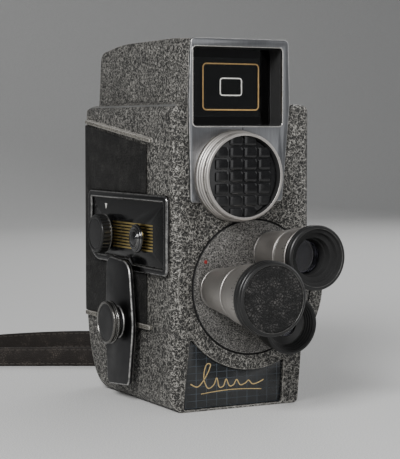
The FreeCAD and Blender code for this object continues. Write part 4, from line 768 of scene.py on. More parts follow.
WHITE_INK = Ink("white_frame_ink", colour=(0.80, 0.79, 0.74))
BLACK_INK = Ink("engraved_black", colour=(0.02, 0.02, 0.02), roughness=0.6)
RED_INK = Ink("red_index_paint", colour=(0.22, 0.012, 0.010))
GOLD_INK = Ink("gold_flourish", colour=(0.72, 0.53, 0.25), metallic=0.9, roughness=0.3)
THREAD = Ink("waxed_thread", colour=(0.05, 0.042, 0.035), roughness=0.7)
PLAID = PlaidLacquer("plaid_lacquer")


# ---------------------------------------------------------------- mesh making
def shade(mesh: bpy.types.Mesh, sharp: float = 32.0) -> None:
    """Smooths a mesh and keeps edges over an angle sharp.

    Args:
        mesh: mesh to shade.
        sharp: angle in degrees over which an edge stays sharp.
    """
    mesh.shade_smooth()
    mesh.set_sharp_from_angle(angle=math.radians(sharp))


def link(name: str, mesh: bpy.types.Mesh) -> bpy.types.Object:
    """Makes an object of a mesh at the origin.

    Args:
        name: name of the piece.
        mesh: its mesh.

    Returns:
        The linked object.
    """
    made = bpy.data.objects.new(name, mesh)
    bpy.context.scene.collection.objects.link(made)
    return made


def mesh_from(bm: bmesh.types.BMesh, name: str, sharp: float = 32.0) -> bpy.types.Mesh:
    """Turns a bmesh into a shaded mesh and frees it.

    Args:
        bm: the bmesh.
        name: name of the mesh.
        sharp: angle over which an edge stays sharp.

    Returns:
        The mesh.
    """
    mesh = bpy.data.meshes.new(name)
    bm.to_mesh(mesh)
    bm.free()
    shade(mesh, sharp)
    return mesh


def rounded(points: Sequence[Point], radius: float, steps: int = 3, closed: bool = False) -> list[Point]:
    """Rounds the corners of a profile.

    Args:
        points: corner points.
        radius: how far from a corner the rounding starts.
        steps: spans of each rounding.
        closed: whether the profile is a loop.

    Returns:
        The rounded profile.
    """
    result: list[Point] = []
    count = len(points)
    for i, point in enumerate(points):
        if not closed and i in (0, count - 1):
            result.append(point)
            continue
        here = Vector(point)
        before = Vector(points[i - 1]) - here
        after = Vector(points[(i + 1) % count]) - here
        reach = min(radius, before.length * 0.45, after.length * 0.45)
        start = here + before.normalized() * reach
        end = here + after.normalized() * reach
        for step in range(steps + 1):
            t = step / steps
            at = start * (1 - t) ** 2 + here * (2 * t * (1 - t)) + end * t**2
            result.append((at.x, at.y))
    return result


def turned(
    name: str, lie: Lie, centre: Point, profile: Sequence[Point], ring: bool = False, segments: int = 96
) -> bpy.types.Object:
    """Turns a profile about an axis.

    Args:
        name: name of the piece.
        lie: axis of the part.
        centre: where the axis passes, in the two other coordinates in order.
        profile: (radius, place along the axis) points in millimetres.
        ring: whether the profile is a closed loop clear of the axis.
        segments: number of faces round the axis.

    Returns:
        The piece, with u round it and v along its profile in millimetres.
    """
    bm = bmesh.new()
    widest = max(radius for radius, _ in profile)
    rows = []
    for radius, along in profile:
        turns = segments if radius > 1e-6 else 1
        row = []
        for i in range(turns):
            angle = 2 * math.pi * i / segments
            row.append(bm.verts.new(on_axis(lie, centre, radius, angle, along) * MM))
        rows.append(row)
    uv = bm.loops.layers.uv.new("UVMap")
    wear = bm.loops.layers.float.new("wear")
    bends = [corner_turn(profile, i, ring) for i in range(len(profile))]
    reach = 0.0
    spans = len(profile) if ring else len(profile) - 1
    for j in range(spans):
        k = (j + 1) % len(profile)
        step = (Vector(profile[k]) - Vector(profile[j])).length
        for i in range(segments):
            corners = [(j, i, reach), (j, i + 1, reach), (k, i + 1, reach + step), (k, i, reach + step)]
            verts, places, bent = [], [], []
            for place, turn, v in corners:
                row = rows[place]
                vert = row[turn % len(row)]
                if vert in verts:
                    continue
                verts.append(vert)
                places.append((2 * math.pi * widest * turn / segments, v))
                bent.append(bends[place])
            if len(verts) < 3:
                continue
            face = bm.faces.new(verts)
            for loop, place, edge in zip(face.loops, places, bent):
                loop[uv].uv = place
                loop[wear] = edge
        reach += step
    bmesh.ops.recalc_face_normals(bm, faces=bm.faces)
    return link(name, mesh_from(bm, name))


def corner_turn(profile: Sequence[Point], i: int, ring: bool) -> float:
    """Tells whether a profile bends sharply at a point.

    Args:
        profile: the profile.
        i: number of the point.
        ring: whether the profile is a loop.

    Returns:
        1 at a sharp bend and 0 elsewhere.
    """
    if not ring and i in (0, len(profile) - 1):
        return 0.0
    here = Vector(profile[i])
    before = here - Vector(profile[i - 1])
    after = Vector(profile[(i + 1) % len(profile)]) - here
    if before.length < 1e-6 or after.length < 1e-6:
        return 0.0
    return 1.0 if math.degrees(before.angle(after)) > 21.0 else 0.0


def on_axis(lie: Lie, centre: Point, radius: float, angle: float, along: float) -> Vector:
    """Gives the point at a radius and angle about an axis.

    Args:
        lie: axis of the part.
        centre: where the axis passes.
        radius: distance from the axis.
        angle: angle in radians.
        along: place along the axis.

    Returns:
        The point, in millimetres.
    """
    first = centre[0] + radius * math.cos(angle)
    second = centre[1] + radius * math.sin(angle)
    if lie is Lie.X:
        return Vector((along, first, second))
    if lie is Lie.Y:
        return Vector((first, along, second))
    return Vector((first, second, along))


def softened(
    node: str, name: str, width: float, sharp: float = 30.0, segments: int = 2
) -> bpy.types.Object:
    """Copies a CAD node and breaks its sharp edges, which the wear attribute then marks.

    Args:
        node: name of the CAD node.
        name: name of the new piece.
        width: width of the broken edge in millimetres.
        sharp: angle over which an edge is broken.
        segments: spans across the broken edge.

    Returns:
        The new piece.
    """
    bm = bmesh.new()
    bm.from_mesh(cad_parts[node].data)
    bmesh.ops.remove_doubles(bm, verts=bm.verts, dist=2e-6)
    bmesh.ops.dissolve_limit(bm, angle_limit=math.radians(0.6), verts=bm.verts, edges=bm.edges)
    edges = []
    for edge in bm.edges:
        if len(edge.link_faces) == 2 and edge.calc_face_angle(0.0) > math.radians(sharp):
            edges.append(edge)
    made = bmesh.ops.bevel(
        bm, geom=edges, offset=width * MM, offset_type="OFFSET", segments=segments, profile=0.5,
        affect="EDGES", clamp_overlap=False,
    )
    layer = bm.loops.layers.float.new("wear")
    broken = set(made["faces"])
    for face in broken:
        for loop in face.loops:
            middle = all(other in broken for other in loop.vert.link_faces)
            loop[layer] = 1.0 if middle else 0.4
    return link(name, mesh_from(bm, name, 40.0))


def line_inside(piece: bpy.types.Object, finish: Finish, low: Vector, high: Vector) -> None:
    """Gives the faces of a piece whose middles lie in a box a second finish.

    Args:
        piece: the piece.
        finish: the second finish.
        low: lowest corner of the box, in millimetres.
        high: highest corner of the box.
    """
    piece.data.materials.append(finish.material())
    last = len(piece.data.materials) - 1
    for face in piece.data.polygons:
        middle = face.center / MM
        if all(low[i] < middle[i] < high[i] for i in range(3)):
            face.material_index = last


def swept(
    name: str, route: Sequence[Vector], section: Sequence[Point], up: Vector, closed: bool = True
) -> bpy.types.Object:
    """Sweeps a flat section along a route that keeps one side up.

    Args:
        name: name of the piece.
        route: points of the route in millimetres.
        section: (sideways, upwards) points of the section, as a loop.
        up: direction that stays up.
        closed: whether the route is a loop.

    Returns:
        The piece, with u along the route and v round the section.
    """
    bm = bmesh.new()
    uv = bm.loops.layers.uv.new("UVMap")
    count = len(route)
    rows = []
    lengths = [0.0]
    for i, here in enumerate(route):
        before = route[i - 1] if closed or i > 0 else here
        after = route[(i + 1) % count] if closed or i < count - 1 else here
        ahead = (after - before).normalized()
        side = ahead.cross(up).normalized()
        rows.append([bm.verts.new((here + side * across + up * rise) * MM) for across, rise in section])
        if i < count - 1:
            lengths.append(lengths[-1] + (route[i + 1] - here).length)
    lengths.append(lengths[-1] + (route[0] - route[-1]).length)
    size = len(section)
    for i in range(count if closed else count - 1):
        k = (i + 1) % count
        for j in range(size):
            m = (j + 1) % size
            face = bm.faces.new((rows[i][j], rows[i][m], rows[k][m], rows[k][j]))
            places = ((i, j), (i, j + 1), (i + 1, j + 1), (i + 1, j))
            for loop, (u, v) in zip(face.loops, places):
                loop[uv].uv = (lengths[u], v / size)
    if not closed:
        bm.faces.new(rows[0])
        bm.faces.new(list(reversed(rows[-1])))
    bmesh.ops.recalc_face_normals(bm, faces=bm.faces)
    return link(name, mesh_from(bm, name, 38.0))


def rounded_box_route(centre: Point, wide: float, tall: float, corner: float, y: float, steps: int = 6):
    """Gives a rounded rectangle in a plane across Y.

    Args:
        centre: (x, z) of the middle.
        wide: width.
        tall: height.
        corner: corner radius.
        y: place of the plane.
        steps: spans of each corner.

    Returns:
        The route's points in millimetres.
    """
    points = []
    middles = ((1, 1, 0), (-1, 1, 90), (-1, -1, 180), (1, -1, 270))
    for sx, sz, first in middles:
        x = centre[0] + sx * (wide / 2 - corner)
        z = centre[1] + sz * (tall / 2 - corner)
        for step in range(steps + 1):
            angle = math.radians(first + 90 * step / steps)
            points.append(Vector((x + corner * math.cos(angle), y, z + corner * math.sin(angle))))
    return points


def plate(name: str, outline: Sequence[Vector], depth: Vector) -> bpy.types.Object:
    """Makes a flat plate from an outline.

    Args:
        name: name of the piece.
        outline: points of the outline in millimetres.
        depth: how far and which way the plate is thick.

    Returns:
        The piece.
    """
    bm = bmesh.new()
    low = [bm.verts.new(point * MM) for point in outline]
    high = [bm.verts.new((point + depth) * MM) for point in outline]
    bm.faces.new(low)
    bm.faces.new(list(reversed(high)))
    for i in range(len(outline)):
        k = (i + 1) % len(outline)
        bm.faces.new((low[i], high[i], high[k], low[k]))
    bmesh.ops.recalc_face_normals(bm, faces=bm.faces)
    return link(name, mesh_from(bm, name))


def joined(name: str, pieces: Sequence[bpy.types.Object]) -> bpy.types.Object:
    """Puts several pieces into one mesh and removes them.

    Args:
        name: name of the result.
        pieces: the pieces, which all wear the first one's finish.

    Returns:
        The joined piece.
    """
    bm = bmesh.new()
    for piece in pieces:
        bm.from_mesh(piece.data)
        bpy.data.objects.remove(piece)
    return link(name, mesh_from(bm, name))


def flat_text(label: str, size: float) -> bpy.types.Mesh:
    """Makes the flat mesh of a short numeral.

    Args:
        label: the numeral.
        size: letter size in millimetres.

    Returns:
        A mesh in its own plane, in millimetres, centred.
    """
    curve = bpy.data.curves.new("numeral", "FONT")
    curve.body = label
    curve.size = size
    curve.align_x = "CENTER"
    curve.align_y = "CENTER"
    curve.resolution_u = 3
    holder = link("numeral", curve)
    bpy.context.view_layer.update()
    mesh = bpy.data.meshes.new_from_object(holder.evaluated_get(bpy.context.evaluated_depsgraph_get()))
    bpy.data.objects.remove(holder)
    return mesh


def wrapped_numerals(
    name: str, lie: Lie, centre: Point, labels: dict[float, str], size: float,
    radius: Callable[[float], float], along: float, facing: float = 1.0,
) -> bpy.types.Object:
    """Lays numerals round a turned band.

    Args:
        name: name of the piece.
        lie: axis of the band.
        centre: where the axis passes.
        labels: angle in degrees to numeral.
        size: letter size.
        radius: gives the band's radius at a place along the axis.
        along: middle of the numerals along the axis.
        facing: 1 or -1, which way up the numerals stand.

    Returns:
        One piece with every numeral, a hair above the band.
    """
    bm = bmesh.new()
    for degrees, label in labels.items():
        mesh = flat_text(label, size)
        for vert in mesh.vertices:
            place = along + vert.co.y * facing
            reach = radius(place) + 0.03
            angle = math.radians(degrees) + facing * vert.co.x / reach
            vert.co = on_axis(lie, centre, reach, angle, place) * MM
        bm.from_mesh(mesh)
        bpy.data.meshes.remove(mesh)
    bmesh.ops.recalc_face_normals(bm, faces=bm.faces)
    for face in bm.faces:
        outwards = face.calc_center_median() / MM
        away = outwards - on_axis(lie, centre, 0.0, 0.0, along_of(lie, outwards))
        if face.normal.dot(away) < 0:
            face.normal_flip()
    return link(name, mesh_from(bm, name))


def smooth_line(points: Sequence[Vector], steps: int) -> list[Vector]:
    """Draws a smooth line through points.

    Args:
        points: points that the line passes.
        steps: pieces between two points.

    Returns:
        The points of the smooth line.
    """
    made = []
    last = len(points) - 1
    for i in range(last):
        before, here = points[max(i - 1, 0)], points[i]
        after, beyond = points[i + 1], points[min(i + 2, last)]
        for step in range(steps):
            t = step / steps
            pull = (after - before) * t + (2 * before - 5 * here + 4 * after - beyond) * t * t
            made.append(here + (pull + (3 * here - before - 3 * after + beyond) * t ** 3) / 2)
    made.append(points[last])
    return made


def paint_ring(
    piece: bpy.types.Object, finish: "Finish", centre: Point, inner: float, outer: float, behind: float
) -> None:
    """Gives a second finish to the faces in a ring round an axis along Y.

    Args:
        piece: dressed piece.
        finish: the second finish.
        centre: (x, z) of the axis, in millimetres.
        inner: inner radius of the ring.
        outer: outer radius of the ring.
        behind: only faces forward of this Y take the finish.
    """
    piece.data.materials.append(finish.material())
    slot = len(piece.data.materials) - 1
    for face in piece.data.polygons:
        spot = face.center / MM
        reach = math.hypot(spot.x - centre[0], spot.z - centre[1])
        if inner < reach < outer and spot.y < behind:
            face.material_index = slot


def along_of(lie: Lie, point: Vector) -> float:
    """Gives a point's coordinate along an axis."""
    return {Lie.X: point.x, Lie.Y: point.y, Lie.Z: point.z}[lie]


# ---------------------------------------------------------------- repeated shapes
class RepeatTree:
    """Geometry Nodes tree with named inputs, run once to give a plain mesh."""

    name = "repeat"
    sizes: tuple[tuple[str, str], ...] = ()

    def tree(self) -> bpy.types.NodeTree:
        """Builds the tree once.

        Returns:
            The geometry node group.
        """
        known = bpy.data.node_groups.get(self.name)
        if known:
            return known
        tree = bpy.data.node_groups.new(self.name, "GeometryNodeTree")
        tree.is_modifier = True
        tree.interface.new_socket("Geometry", in_out="INPUT", socket_type="NodeSocketGeometry")
        for name, kind in self.sizes:
            tree.interface.new_socket(name, in_out="INPUT", socket_type=kind)
        tree.interface.new_socket("Finish", in_out="INPUT", socket_type="NodeSocketMaterial")
        tree.interface.new_socket("Geometry", in_out="OUTPUT", socket_type="NodeSocketGeometry")
        sketch = Sketch(tree)
        given = sketch.node("NodeGroupInput")
        repeated = self.draw(sketch, given)
        real = sketch.node("GeometryNodeRealizeInstances", {"Geometry": repeated})
        feeds = {"Geometry": real.outputs[0], "Material": given.outputs["Finish"]}
        dressed = sketch.node("GeometryNodeSetMaterial", feeds)
        sketch.node("NodeGroupOutput", {"Geometry": dressed.outputs[0]})
        return tree

    def draw(self, sketch: Sketch, given: bpy.types.Node) -> bpy.types.NodeSocket:
        """Draws the instances; each tree has its own."""
        raise NotImplementedError

    def make(self, name: str, finish: Finish, route: Optional[bpy.types.Mesh] = None, **sizes: object):
        """Runs the tree.

        Args:
            name: name of the piece.
            finish: finish of every copy.
            route: mesh of points or edges that the tree follows, if it follows one.
            sizes: values of the tree's inputs, with spaces as underscores.

        Returns:
            The finished piece as a plain mesh.
        """
        holder = link(name + "_tree", route or bpy.data.meshes.new(name + "_seed"))
        modifier = holder.modifiers.new("repeat", "NODES")
        modifier.node_group = self.tree()
        values = {key.replace("_", " "): value for key, value in sizes.items()}
        values["Finish"] = finish.material()
        for item in modifier.node_group.interface.items_tree:
            if item.item_type == "SOCKET" and item.in_out == "INPUT" and item.name in values:
                modifier[item.identifier] = values[item.name]
        bpy.context.view_layer.update()
        depsgraph = bpy.context.evaluated_depsgraph_get()
        mesh = bpy.data.meshes.new_from_object(holder.evaluated_get(depsgraph))
        holder.modifiers.clear()
        bpy.data.objects.remove(holder)
        shade(mesh)
        finish_piece = link(name, mesh)
        return finish_piece


class RingOfRibs(RepeatTree):
    """Ribs, knurls or ticks that stand round an axis."""

    name = "ring_of_ribs"
    sizes = (
        ("Count", "NodeSocketInt"),
        ("Radius", "NodeSocketFloat"),
        ("Width", "NodeSocketFloat"),
        ("Depth", "NodeSocketFloat"),
        ("Length", "NodeSocketFloat"),
        ("Sides", "NodeSocketInt"),
        ("Lean", "NodeSocketFloat"),
        ("Turn", "NodeSocketRotation"),
        ("Place", "NodeSocketVector"),
    )

    def draw(self, sketch: Sketch, given: bpy.types.Node) -> bpy.types.NodeSocket:
        """Sets rounded bars on the points of a circle.

        Args:
            sketch: the tree's sketch.
            given: its input node.

        Returns:
            The instances, turned and placed.
        """
        sizes = given.outputs
        circle = sketch.node(
            "GeometryNodeMeshCircle", {"Vertices": sizes["Count"], "Radius": sizes["Radius"]}
        )
        feeds = {"Vertices": sizes["Sides"], "Radius": 0.5, "Depth": sizes["Length"]}
        bar = sketch.node("GeometryNodeMeshCylinder", feeds)
        shape = sketch.node("ShaderNodeCombineXYZ", {0: sizes["Depth"], 1: sizes["Width"], 2: 1.0})
        tilt = sketch.node("ShaderNodeCombineXYZ", {0: 0.0, 1: sizes["Lean"], 2: 0.0})
        feeds = {"Geometry": bar.outputs["Mesh"], "Scale": shape.outputs[0]}
        sized = sketch.node("GeometryNodeTransform", feeds)
        leaning = sketch.node("GeometryNodeTransform", {"Geometry": sized.outputs[0]})
        turn = sketch.node("FunctionNodeEulerToRotation", {0: tilt.outputs[0]})
        sketch.tree.links.new(turn.outputs[0], leaning.inputs["Rotation"])
        outwards = sketch.node(
            "FunctionNodeAlignRotationToVector",
            {"Vector": sketch.node("GeometryNodeInputPosition").outputs[0]},
            axis="X",
            pivot_axis="Z",
        )
        feeds = {"Points": circle.outputs[0], "Instance": leaning.outputs[0], "Rotation": outwards.outputs[0]}
        ribs = sketch.node("GeometryNodeInstanceOnPoints", feeds)
        feeds = {"Geometry": ribs.outputs[0], "Rotation": sizes["Turn"], "Translation": sizes["Place"]}
        return sketch.node("GeometryNodeTransform", feeds).outputs[0]


class PillowGrid(RepeatTree):
    """Rows of small pillow lenses inside a circle, facing -Y."""

    name = "pillow_grid"
    sizes = (
        ("Columns", "NodeSocketInt"),
        ("Rows", "NodeSocketInt"),
        ("Pitch X", "NodeSocketFloat"),
        ("Pitch Z", "NodeSocketFloat"),
        ("Pillow", "NodeSocketVector"),
        ("Reach", "NodeSocketFloat"),
        ("Turn", "NodeSocketRotation"),
        ("Place", "NodeSocketVector"),
    )

    def draw(self, sketch: Sketch, given: bpy.types.Node) -> bpy.types.NodeSocket:
        """Sets a crowned pillow on each grid point within reach of the middle.

        Args:
            sketch: the tree's sketch.
            given: its input node.

        Returns:
            The instances, turned and placed.
        """
        sizes = given.outputs
        spans = []
        for count, pitch in (("Columns", "Pitch X"), ("Rows", "Pitch Z")):
            gaps = sketch.node("ShaderNodeMath", {0: sizes[count], 1: 1.0}, operation="SUBTRACT")
            spans.append(sketch.sum("MULTIPLY", gaps.outputs[0], sizes[pitch]))
        feeds = {
            "Size X": spans[0], "Size Y": spans[1], "Vertices X": sizes["Columns"],
            "Vertices Y": sizes["Rows"]
        }
        grid = sketch.node("GeometryNodeMeshGrid", feeds)
        place = sketch.node("GeometryNodeInputPosition").outputs[0]
        away = sketch.node("ShaderNodeVectorMath", {0: place}, operation="LENGTH").outputs["Value"]
        beyond = sketch.node("FunctionNodeCompare", {0: away, 1: sizes["Reach"]}, operation="GREATER_THAN")
        feeds = {"Geometry": grid.outputs[0], "Selection": beyond.outputs[0]}
        kept = sketch.node("GeometryNodeDeleteGeometry", feeds)
        cube = sketch.node("GeometryNodeMeshCube", {"Size": (1.0, 1.0, 1.0)})
        feeds = {0: cube.outputs[0], "Level": 3, "Edge Crease": 0.42}
        pillow = sketch.node("GeometryNodeSubdivisionSurface", feeds)
        sized = sketch.node(
            "GeometryNodeTransform", {"Geometry": pillow.outputs[0], "Scale": sizes["Pillow"]}
        )
        rows = sketch.node(
            "GeometryNodeInstanceOnPoints", {"Points": kept.outputs[0], "Instance": sized.outputs[0]}
        )
        feeds = {"Geometry": rows.outputs[0], "Rotation": sizes["Turn"], "Translation": sizes["Place"]}
        return sketch.node("GeometryNodeTransform", feeds).outputs[0]


class StitchRow(RepeatTree):
    """Stitches that follow a line of points."""

    name = "stitch_row"
    sizes = (
        ("Pitch", "NodeSocketFloat"),
        ("Length", "NodeSocketFloat"),
        ("Width", "NodeSocketFloat"),
        ("Place", "NodeSocketVector"),
    )

    def draw(self, sketch: Sketch, given: bpy.types.Node) -> bpy.types.NodeSocket:
        """Sets a stitch along each step of the line.

        Args:
            sketch: the tree's sketch.
            given: its input node.

        Returns:
            The instances, placed.
        """
        sizes = given.outputs
        curve = sketch.node("GeometryNodeMeshToCurve", {0: sizes["Geometry"]})
        feeds = {0: curve.outputs[0], "Length": sizes["Pitch"]}
        spaced = sketch.node("GeometryNodeCurveToPoints", feeds, mode="LENGTH")
        feeds = {"Vertices": 6, "Radius": 0.5, "Depth": sizes["Length"]}
        bar = sketch.node("GeometryNodeMeshCylinder", feeds)
        shape = sketch.node("ShaderNodeCombineXYZ", {0: sizes["Width"], 1: sizes["Width"], 2: 1.0})
        sized = sketch.node(
            "GeometryNodeTransform", {"Geometry": bar.outputs["Mesh"], "Scale": shape.outputs[0]}
        )
        feeds = {"Vector": spaced.outputs["Tangent"]}
        ahead = sketch.node("FunctionNodeAlignRotationToVector", feeds, axis="Z")
        feeds = {
            "Points": spaced.outputs["Points"], "Instance": sized.outputs[0], "Rotation": ahead.outputs[0]
        }
        row = sketch.node("GeometryNodeInstanceOnPoints", feeds)
        feeds = {"Geometry": row.outputs[0], "Translation": sizes["Place"]}
        return sketch.node("GeometryNodeTransform", feeds).outputs[0]


RIBS = RingOfRibs()
PILLOWS = PillowGrid()
STITCHES = StitchRow()
FACE_FRONT = (math.pi / 2, 0.0, 0.0)
FACE_LEFT = (0.0, math.pi / 2, 0.0)


# ---------------------------------------------------------------- sub-assemblies
@dataclass
class Assembly:
    """Part of the camera that builds its pieces and rides them on a body."""

    made: list[str] = field(default_factory=list, init=False)

    def keep(self, piece: bpy.types.Object, finish: Optional[Finish], body: str, *nodes: str):
        """Dresses a piece, rides it and lets it stand for CAD nodes.

        Args:
            piece: the finished mesh.
            finish: its finish, or None when it already wears one.
            body: body that it moves with.
            nodes: CAD nodes that it stands for.

        Returns:
            The piece.
        """
        if finish:
            finish.dress(piece)
        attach(piece, body)
        if nodes:
            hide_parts(*nodes)
        self.made.append(piece.name)
        LOG.info("%s rides on %s", piece.name, body)
        return piece

    def dress_node(self, node: str, finish: Finish) -> None:
        """Gives a CAD node that stays its finish.

        Args:
            node: name of the CAD node.
            finish: its finish.
        """
        finish.dress(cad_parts[node])
        LOG.info("%s wears %s", node, finish.name)

    def build(self) -> None:
        """Builds and dresses the pieces; each sub-assembly has its own."""
        raise NotImplementedError


@dataclass
class BodyCasting(Assembly):
    """Crackle-painted casting, the magazine door and the small fittings on them."""

    edge: float = 0.35
    rib_side: float = -35.7
    rib_low: float = 117.0

    def build(self) -> None:
        """Builds the casting and the door with painted outsides and bare insides."""
        inner_low = Vector((-33.4, -46.0, 2.3))
        inner_high = Vector((32.9, 45.2, 136.4))
        shell = softened("body_shell", "body_casting", self.edge)
        BODY_PAINT.dress(shell)
        line_inside(shell, CAST_METAL, inner_low, inner_high)
        # A matt black ring on the turret pocket's edge is painted shadow in the gap round the turret disc.
        paint_ring(shell, INNER_BLACK_AND_PAINTED_SHADE, (4.5, 54.5), 30.3, 30.92, -46.3)
        # The upper side rib takes the lighter trim paint: partly its smoother finish, partly a painted
        # highlight along the rib.
        shell.data.materials.append(TRIM_PAINT_AND_RIB_HIGHLIGHT.material())
        for face in shell.data.polygons:
            if face.center.x < self.rib_side * MM and face.center.z > self.rib_low * MM:
                face.material_index = len(shell.data.materials) - 1
        self.keep(shell, None, "camera", "body_shell")
        door = softened("magazine_door", "film_door", self.edge)
        BODY_PAINT.dress(door)
        line_inside(door, CAST_METAL, inner_low, inner_high)
        self.keep(door, None, "door", "magazine_door")
        self.dress_node("door_hinge_pin", STEEL)
        self.build_trim()

    def build_trim(self) -> None:
        """Builds the lower side trim."""
        self.keep(softened("lower_side_trim", "lower_trim", 0.3), TRIM_PAINT_AND_RIB_HIGHLIGHT, "camera", "lower_side_trim")


@dataclass
class LeatherSkins(Assembly):
    """Leather cloth on the body and on the door."""

    edge: float = 0.28

    def build(self) -> None:
        """Builds both skins with rolled edges."""
        self.keep(
            softened("leather_skin_body", "body_cloth", self.edge), SKIN_CLOTH, "camera", "leather_skin_body"
        )
        self.keep(
            softened("leather_skin_door", "door_cloth", self.edge), SKIN_CLOTH, "door", "leather_skin_door"
        )


@dataclass
class FinderTower(Assembly):
    """Finder housing with its bezel, window and eyepiece."""

    centre: Point = (-3.8, 144.15)
    window: Point = (45.2, 34.7)
    corner: float = 1.5
    trim: float = 0.6
    line_centre: Point = (-2.0, 144.3)

    def build(self) -> None:
        """Builds the housing, then what is let into it."""
        tower = softened("finder_tower", "finder_housing", 0.3)
        BODY_PAINT.dress(tower)
        low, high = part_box("finder_tower")
        line_inside(
            tower, INNER_BLACK_AND_PAINTED_SHADE, low / MM + Vector((1.6, 0.6, 1.6)), high / MM - Vector((1.6, 1.6, 2.6))
        )
        self.keep(tower, None, "camera", "finder_tower")
        self.keep(softened("front_bezel", "bezel_plate", 0.35), BEZEL_METAL, "camera", "front_bezel")
        self.keep(softened("window_liner", "window_tunnel", 0.2), INNER_BLACK_AND_PAINTED_SHADE, "camera", "window_liner")
        self.build_window()
        self.build_eyepiece()

    def build_window(self) -> None:
        """Builds the bright window edge, the glass and its frame lines."""
        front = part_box("front_bezel")[0].y / MM
        route = rounded_box_route(self.centre, self.window[0], self.window[1], self.corner, front + 0.35)
        ring = self.frame_ring("window_edge", route, self.trim, 0.9)
        self.keep(ring, BRIGHT, "camera")
        tick = [
            Vector((x, front - 0.02, z)) for x,
            z in ((-1.75, 124.9), (-1.25, 124.9), (-1.25, 126.2), (-1.75, 126.2))
        ]
        self.keep(plate("speed_index", tick, Vector((0, 0.1, 0))), BLACK_INK, "camera")
        self.dress_node("finder_front_glass", FINDER_GLASS)
        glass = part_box("finder_front_glass")[0].y / MM
        outer = self.line("outer_frame_line", 29.1, 21.2, 2.0, 0.6, glass)
        self.keep(outer, AMBER_INK, "camera", "finder_frame_lines")
        inner = self.line("inner_frame_line", 11.4, 8.1, 1.4, 0.5, glass)
        self.keep(inner, WHITE_INK, "camera")

    def frame_ring(self, name: str, route: Sequence[Vector], wide: float, deep: float) -> bpy.types.Object:
        """Makes a thin rounded frame that lines an opening.

        Args:
            name: name of the piece.
            route: outline of the opening.
            wide: how far it stands in from the outline.
            deep: how deep it is along Y.

        Returns:
            The piece.
        """
        section = rounded(
            [(0, -deep / 2), (wide, -deep / 2), (wide, deep / 2), (0, deep / 2)], 0.18, closed=True
        )
        return swept(name, route, section, Vector((0, -1, 0)))

    def line(self, name: str, wide: float, tall: float, corner: float, width: float, y: float):
        """Makes one printed frame line on the front of the glass.

        Args:
            name: name of the piece.
            wide: outer width.
            tall: outer height.
            corner: outer corner radius.
            width: width of the line.
            y: front of the glass.

        Returns:
            The piece.
        """
        route = rounded_box_route(self.line_centre, wide - width, tall - width, corner - width / 2, y - 0.05)
        section = [(-width / 2, 0.0), (width / 2, 0.0), (width / 2, 0.06), (-width / 2, 0.06)]
        return swept(name, route, section, Vector((0, -1, 0)))

    def build_eyepiece(self) -> None:
        """Builds the ribbed eyepiece ring and dresses its lens."""
        low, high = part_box("eyepiece_ring")
        back, front = high.y / MM, low.y / MM
        outer = (high.x - low.x) / 2 / MM
        profile = [(5.5, front), (6.5, front), (6.5, front + 3.0), (outer, front + 3.0), (outer, back - 2.6)]
        profile += [
            (outer - 0.35, back - 2.4), (outer - 0.35, back - 1.6), (outer, back - 1.4), (outer, back - 0.6)
        ]
        profile += [(outer - 0.8, back), (6.6, back), (5.5, back - 1.5)]
        ring = turned("eyepiece", Lie.Y, self.centre, rounded(profile, 0.18, closed=True), ring=True)
        self.keep(ring, DIAL_BLACK, "camera", "eyepiece_ring")
        self.dress_node("eyepiece_lens", LENS_GLASS)


